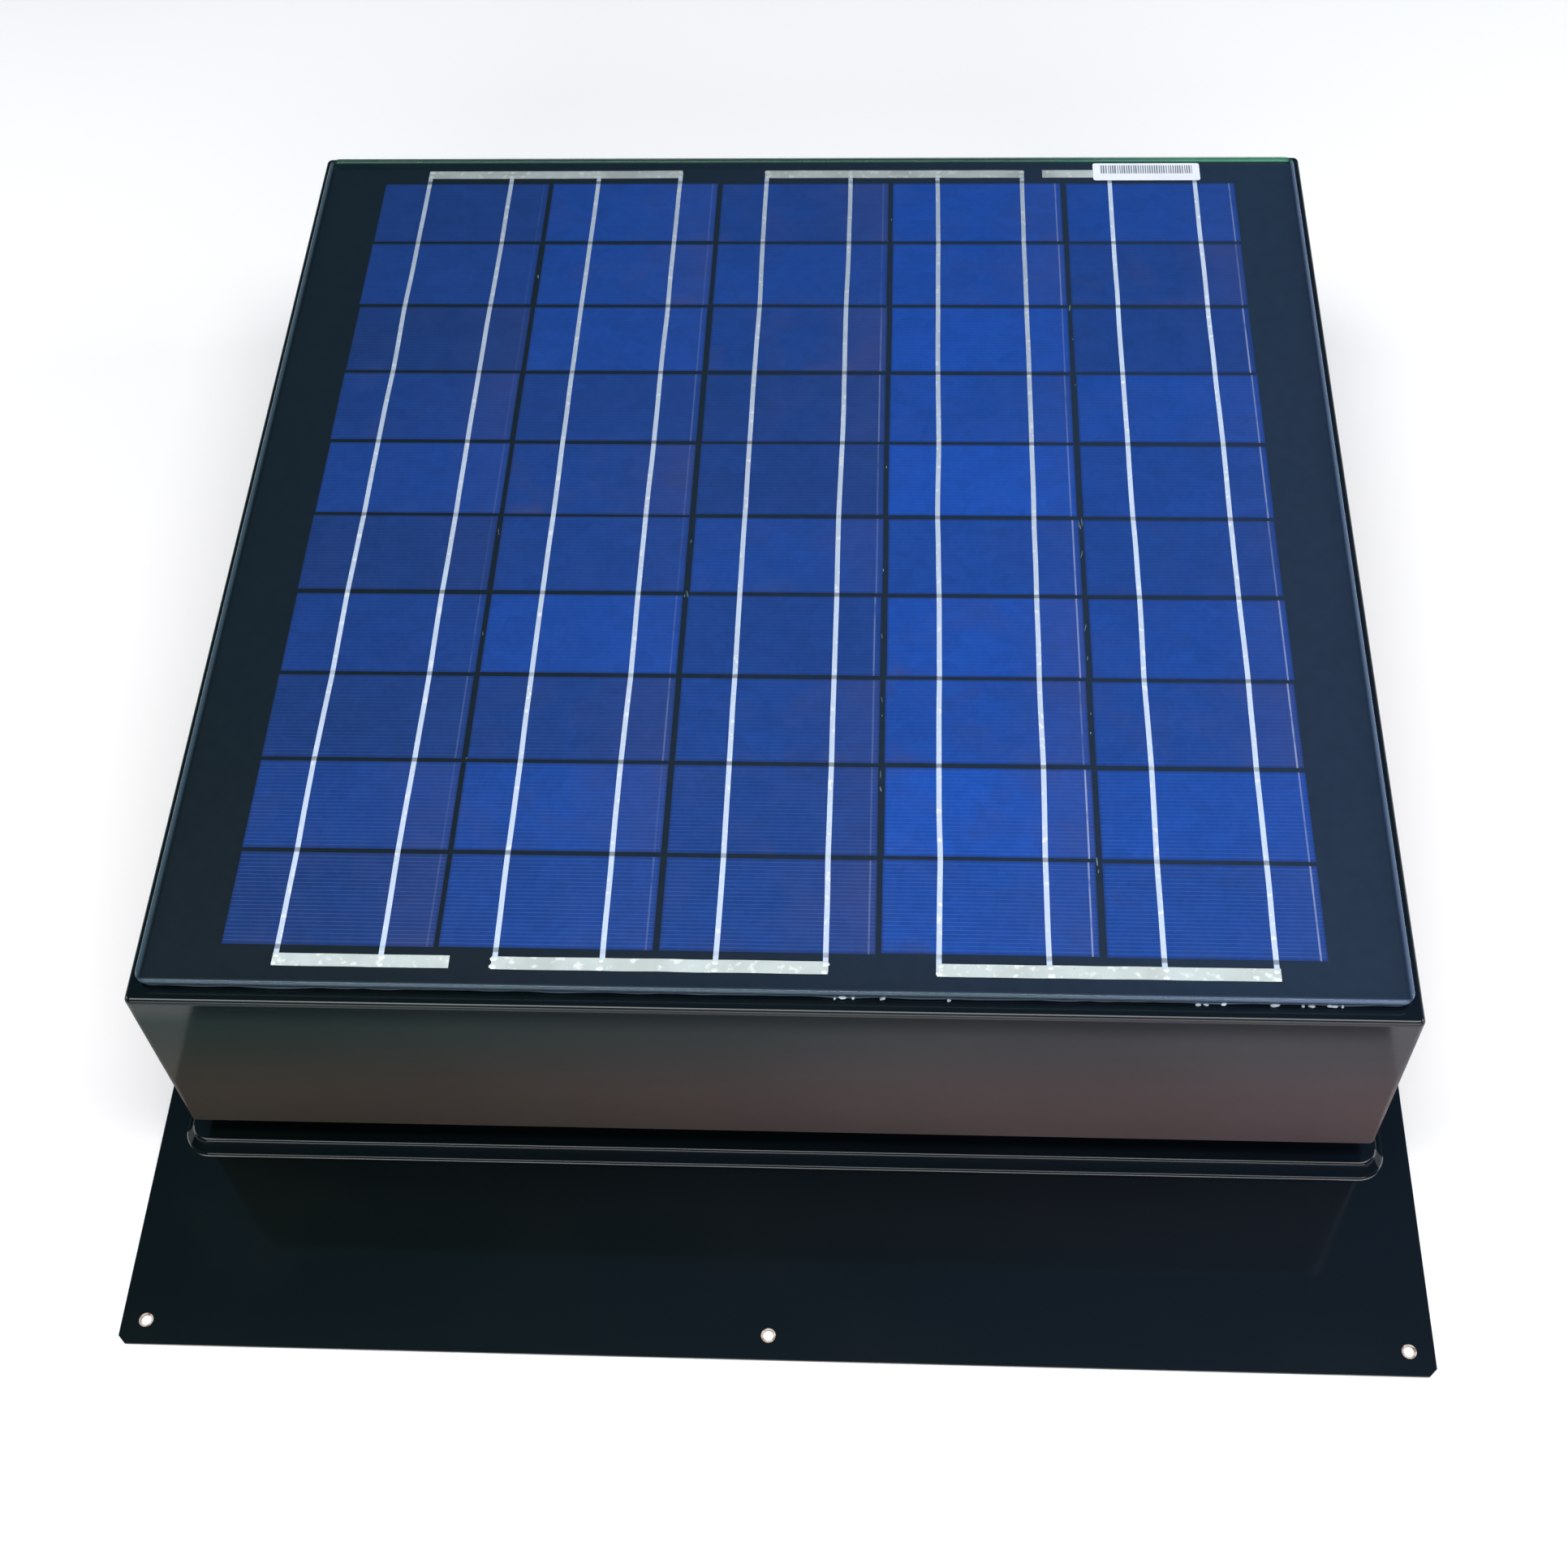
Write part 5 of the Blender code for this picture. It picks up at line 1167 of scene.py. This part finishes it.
# ---- camera, lights, floor
def make_camera():
    """Above and in front, a little to the right, looking down 55 degrees."""
    elevation, yaw, roll = (math.radians(angle) for angle in CAMERA_ANGLES)
    forward = Vector((math.sin(yaw) * math.cos(elevation), math.cos(yaw) * math.cos(elevation),
                      -math.sin(elevation)))
    level = forward.cross(UP).normalized()
    upright = level.cross(forward)
    right = math.cos(roll) * level + math.sin(roll) * upright
    above = -math.sin(roll) * level + math.cos(roll) * upright
    data = bpy.data.cameras.new("view")
    data.lens = CAMERA_LENS
    data.sensor_width = 36.0
    data.clip_start = 0.05
    camera = bpy.data.objects.new("view", data)
    turn = Matrix((right, above, -forward)).transposed().to_4x4()
    camera.matrix_world = Matrix.Translation(CAMERA_PLACE) @ turn
    bpy.context.scene.collection.objects.link(camera)
    bpy.context.scene.camera = camera


def soft_light(name, place, aim, size, power, colour):
    data = bpy.data.lights.new(name, "AREA")
    data.shape = "RECTANGLE"
    data.size, data.size_y = size
    data.energy = power
    data.color = colour
    lamp = bpy.data.objects.new(name, data)
    lamp.location = place
    lamp.rotation_mode = "QUATERNION"
    lamp.rotation_quaternion = (Vector(aim) - Vector(place)).to_track_quat("-Z", "Y")
    bpy.context.scene.collection.objects.link(lamp)


def make_studio():
    world = bpy.data.worlds.new("pale_room")
    world.use_nodes = True
    room = world.node_tree.nodes["Background"].inputs
    room["Color"].default_value = ROOM_COLOUR
    room["Strength"].default_value = ROOM_STRENGTH
    bpy.context.scene.world = world
    for light in LIGHTS:
        soft_light(*light)
    shape = bmesh.new()
    bmesh.ops.create_grid(shape, x_segments=1, y_segments=1, size=6.0,
                          matrix=Matrix.Translation((0.0, 0.0, CAD_BOX[0].z - 0.3 * MM)))
    mesh = bpy.data.meshes.new("floor")
    shape.to_mesh(mesh)
    shape.free()
    paint = Paint("pale_floor", (0.86, 0.86, 0.86), roughness=0.85)
    paint.drive("Base Color", paint.shade((0.88, 0.88, 0.88), 0.97 + 0.05 * paint.cloud(3.0, 2.0)))
    mesh.materials.append(paint.material)
    floor = bpy.data.objects.new("floor", mesh)
    bpy.context.scene.collection.objects.link(floor)
    bpy.context.scene.view_settings.view_transform = "Standard"


# ---- assembly
make_camera()
make_studio()
coat = powder_coat("hood_powder_coat", True)
plain_coat = powder_coat("flashing_powder_coat", False)
zinc = zinc_plate()
steel_sheet = galvanised("galvanised_sheet", 0.50)
plastic = moulded_plastic("box_black_plastic", (0.017, 0.017, 0.018), 900.0)
nylon = moulded_plastic("natural_nylon", (0.60, 0.60, 0.56), 600.0)
jacket = cable_jacket()
enamel = satin_enamel()

make_hood(coat)
make_flashing(plain_coat, worn_edge())
make_throat(plain_coat)
make_glass(clear_glass(*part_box("panel_glass")[1].xy))
cell_base = make_backsheet(black_backsheet())
ribbon_base = make_cells(silicon_cells(), cell_base)
make_label(rating_label(), ribbon_base + LABEL_LIFT)
ribbons = ribbon_lines()
make_ribbons(tinned_copper("ribbon_tin", (0.58, 0.70, 0.88), 0.84, True), ribbon_base, ribbons)
make_buses(tinned_copper("bus_tin", (0.60, 0.68, 0.67), 0.76),
           tinned_copper("bright_solder", (0.78, 0.84, 0.85), 0.86), ribbon_base, ribbons)
make_flecks(sealant("pale_flecks", (0.085, 0.125, 0.160), 0.5), cell_base)
make_seal(sealant("grey_sealant", (0.028, 0.048, 0.072), 0.42, 1.45),
          sealant("sealant_lumps_painted_highlight", (0.38, 0.44, 0.50), 0.45))
make_screens(galvanised("screen_frame_zinc", 0.44), galvanised("screen_wire_zinc", 0.38))
make_blades(brushed_aluminium())
make_blade_rivets(zinc)
make_rivets(zinc)
make_screws(zinc)

for place in ("back_right", "back_left", "front_left", "front_right"):
    refined("hood_post_" + place, steel_sheet, "housing", 0.3 * MM)
refined("motor_bracket", steel_sheet, "housing", 0.3 * MM)
refined("fan_hub", steel_sheet, "fan", 0.25 * MM)
refined("motor_end_cap", enamel, "housing", 0.3 * MM)
refined("motor_can", enamel, "housing", 0.2 * MM)
refined("stator", laminated_steel(), "housing", 0.15 * MM)
refined("rotor_magnet", ferrite(), "fan", 0.3 * MM)
for node in ("bearing_lower", "bearing_upper"):
    refined(node, zinc, "housing", 0.3 * MM)
for node in ("motor_shaft", "hub_washer", "hub_nut"):
    refined(node, zinc, "fan", 0.2 * MM)
for node in ("junction_box", "junction_box_lid", "cable_gland", "connector_socket", "connector_plug"):
    refined(node, plastic, "housing", 0.3 * MM)
for node in ("lead_clip_arm", "lead_clip_post", "lead_clip_hood"):
    refined(node, nylon, "housing", 0.2 * MM)
refined("lead_grommet", jacket, "housing", 0.3 * MM)
for node in ("panel_lead", "motor_lead"):
    refined(node, jacket, "housing", subdivide=1, sharp=70.0)
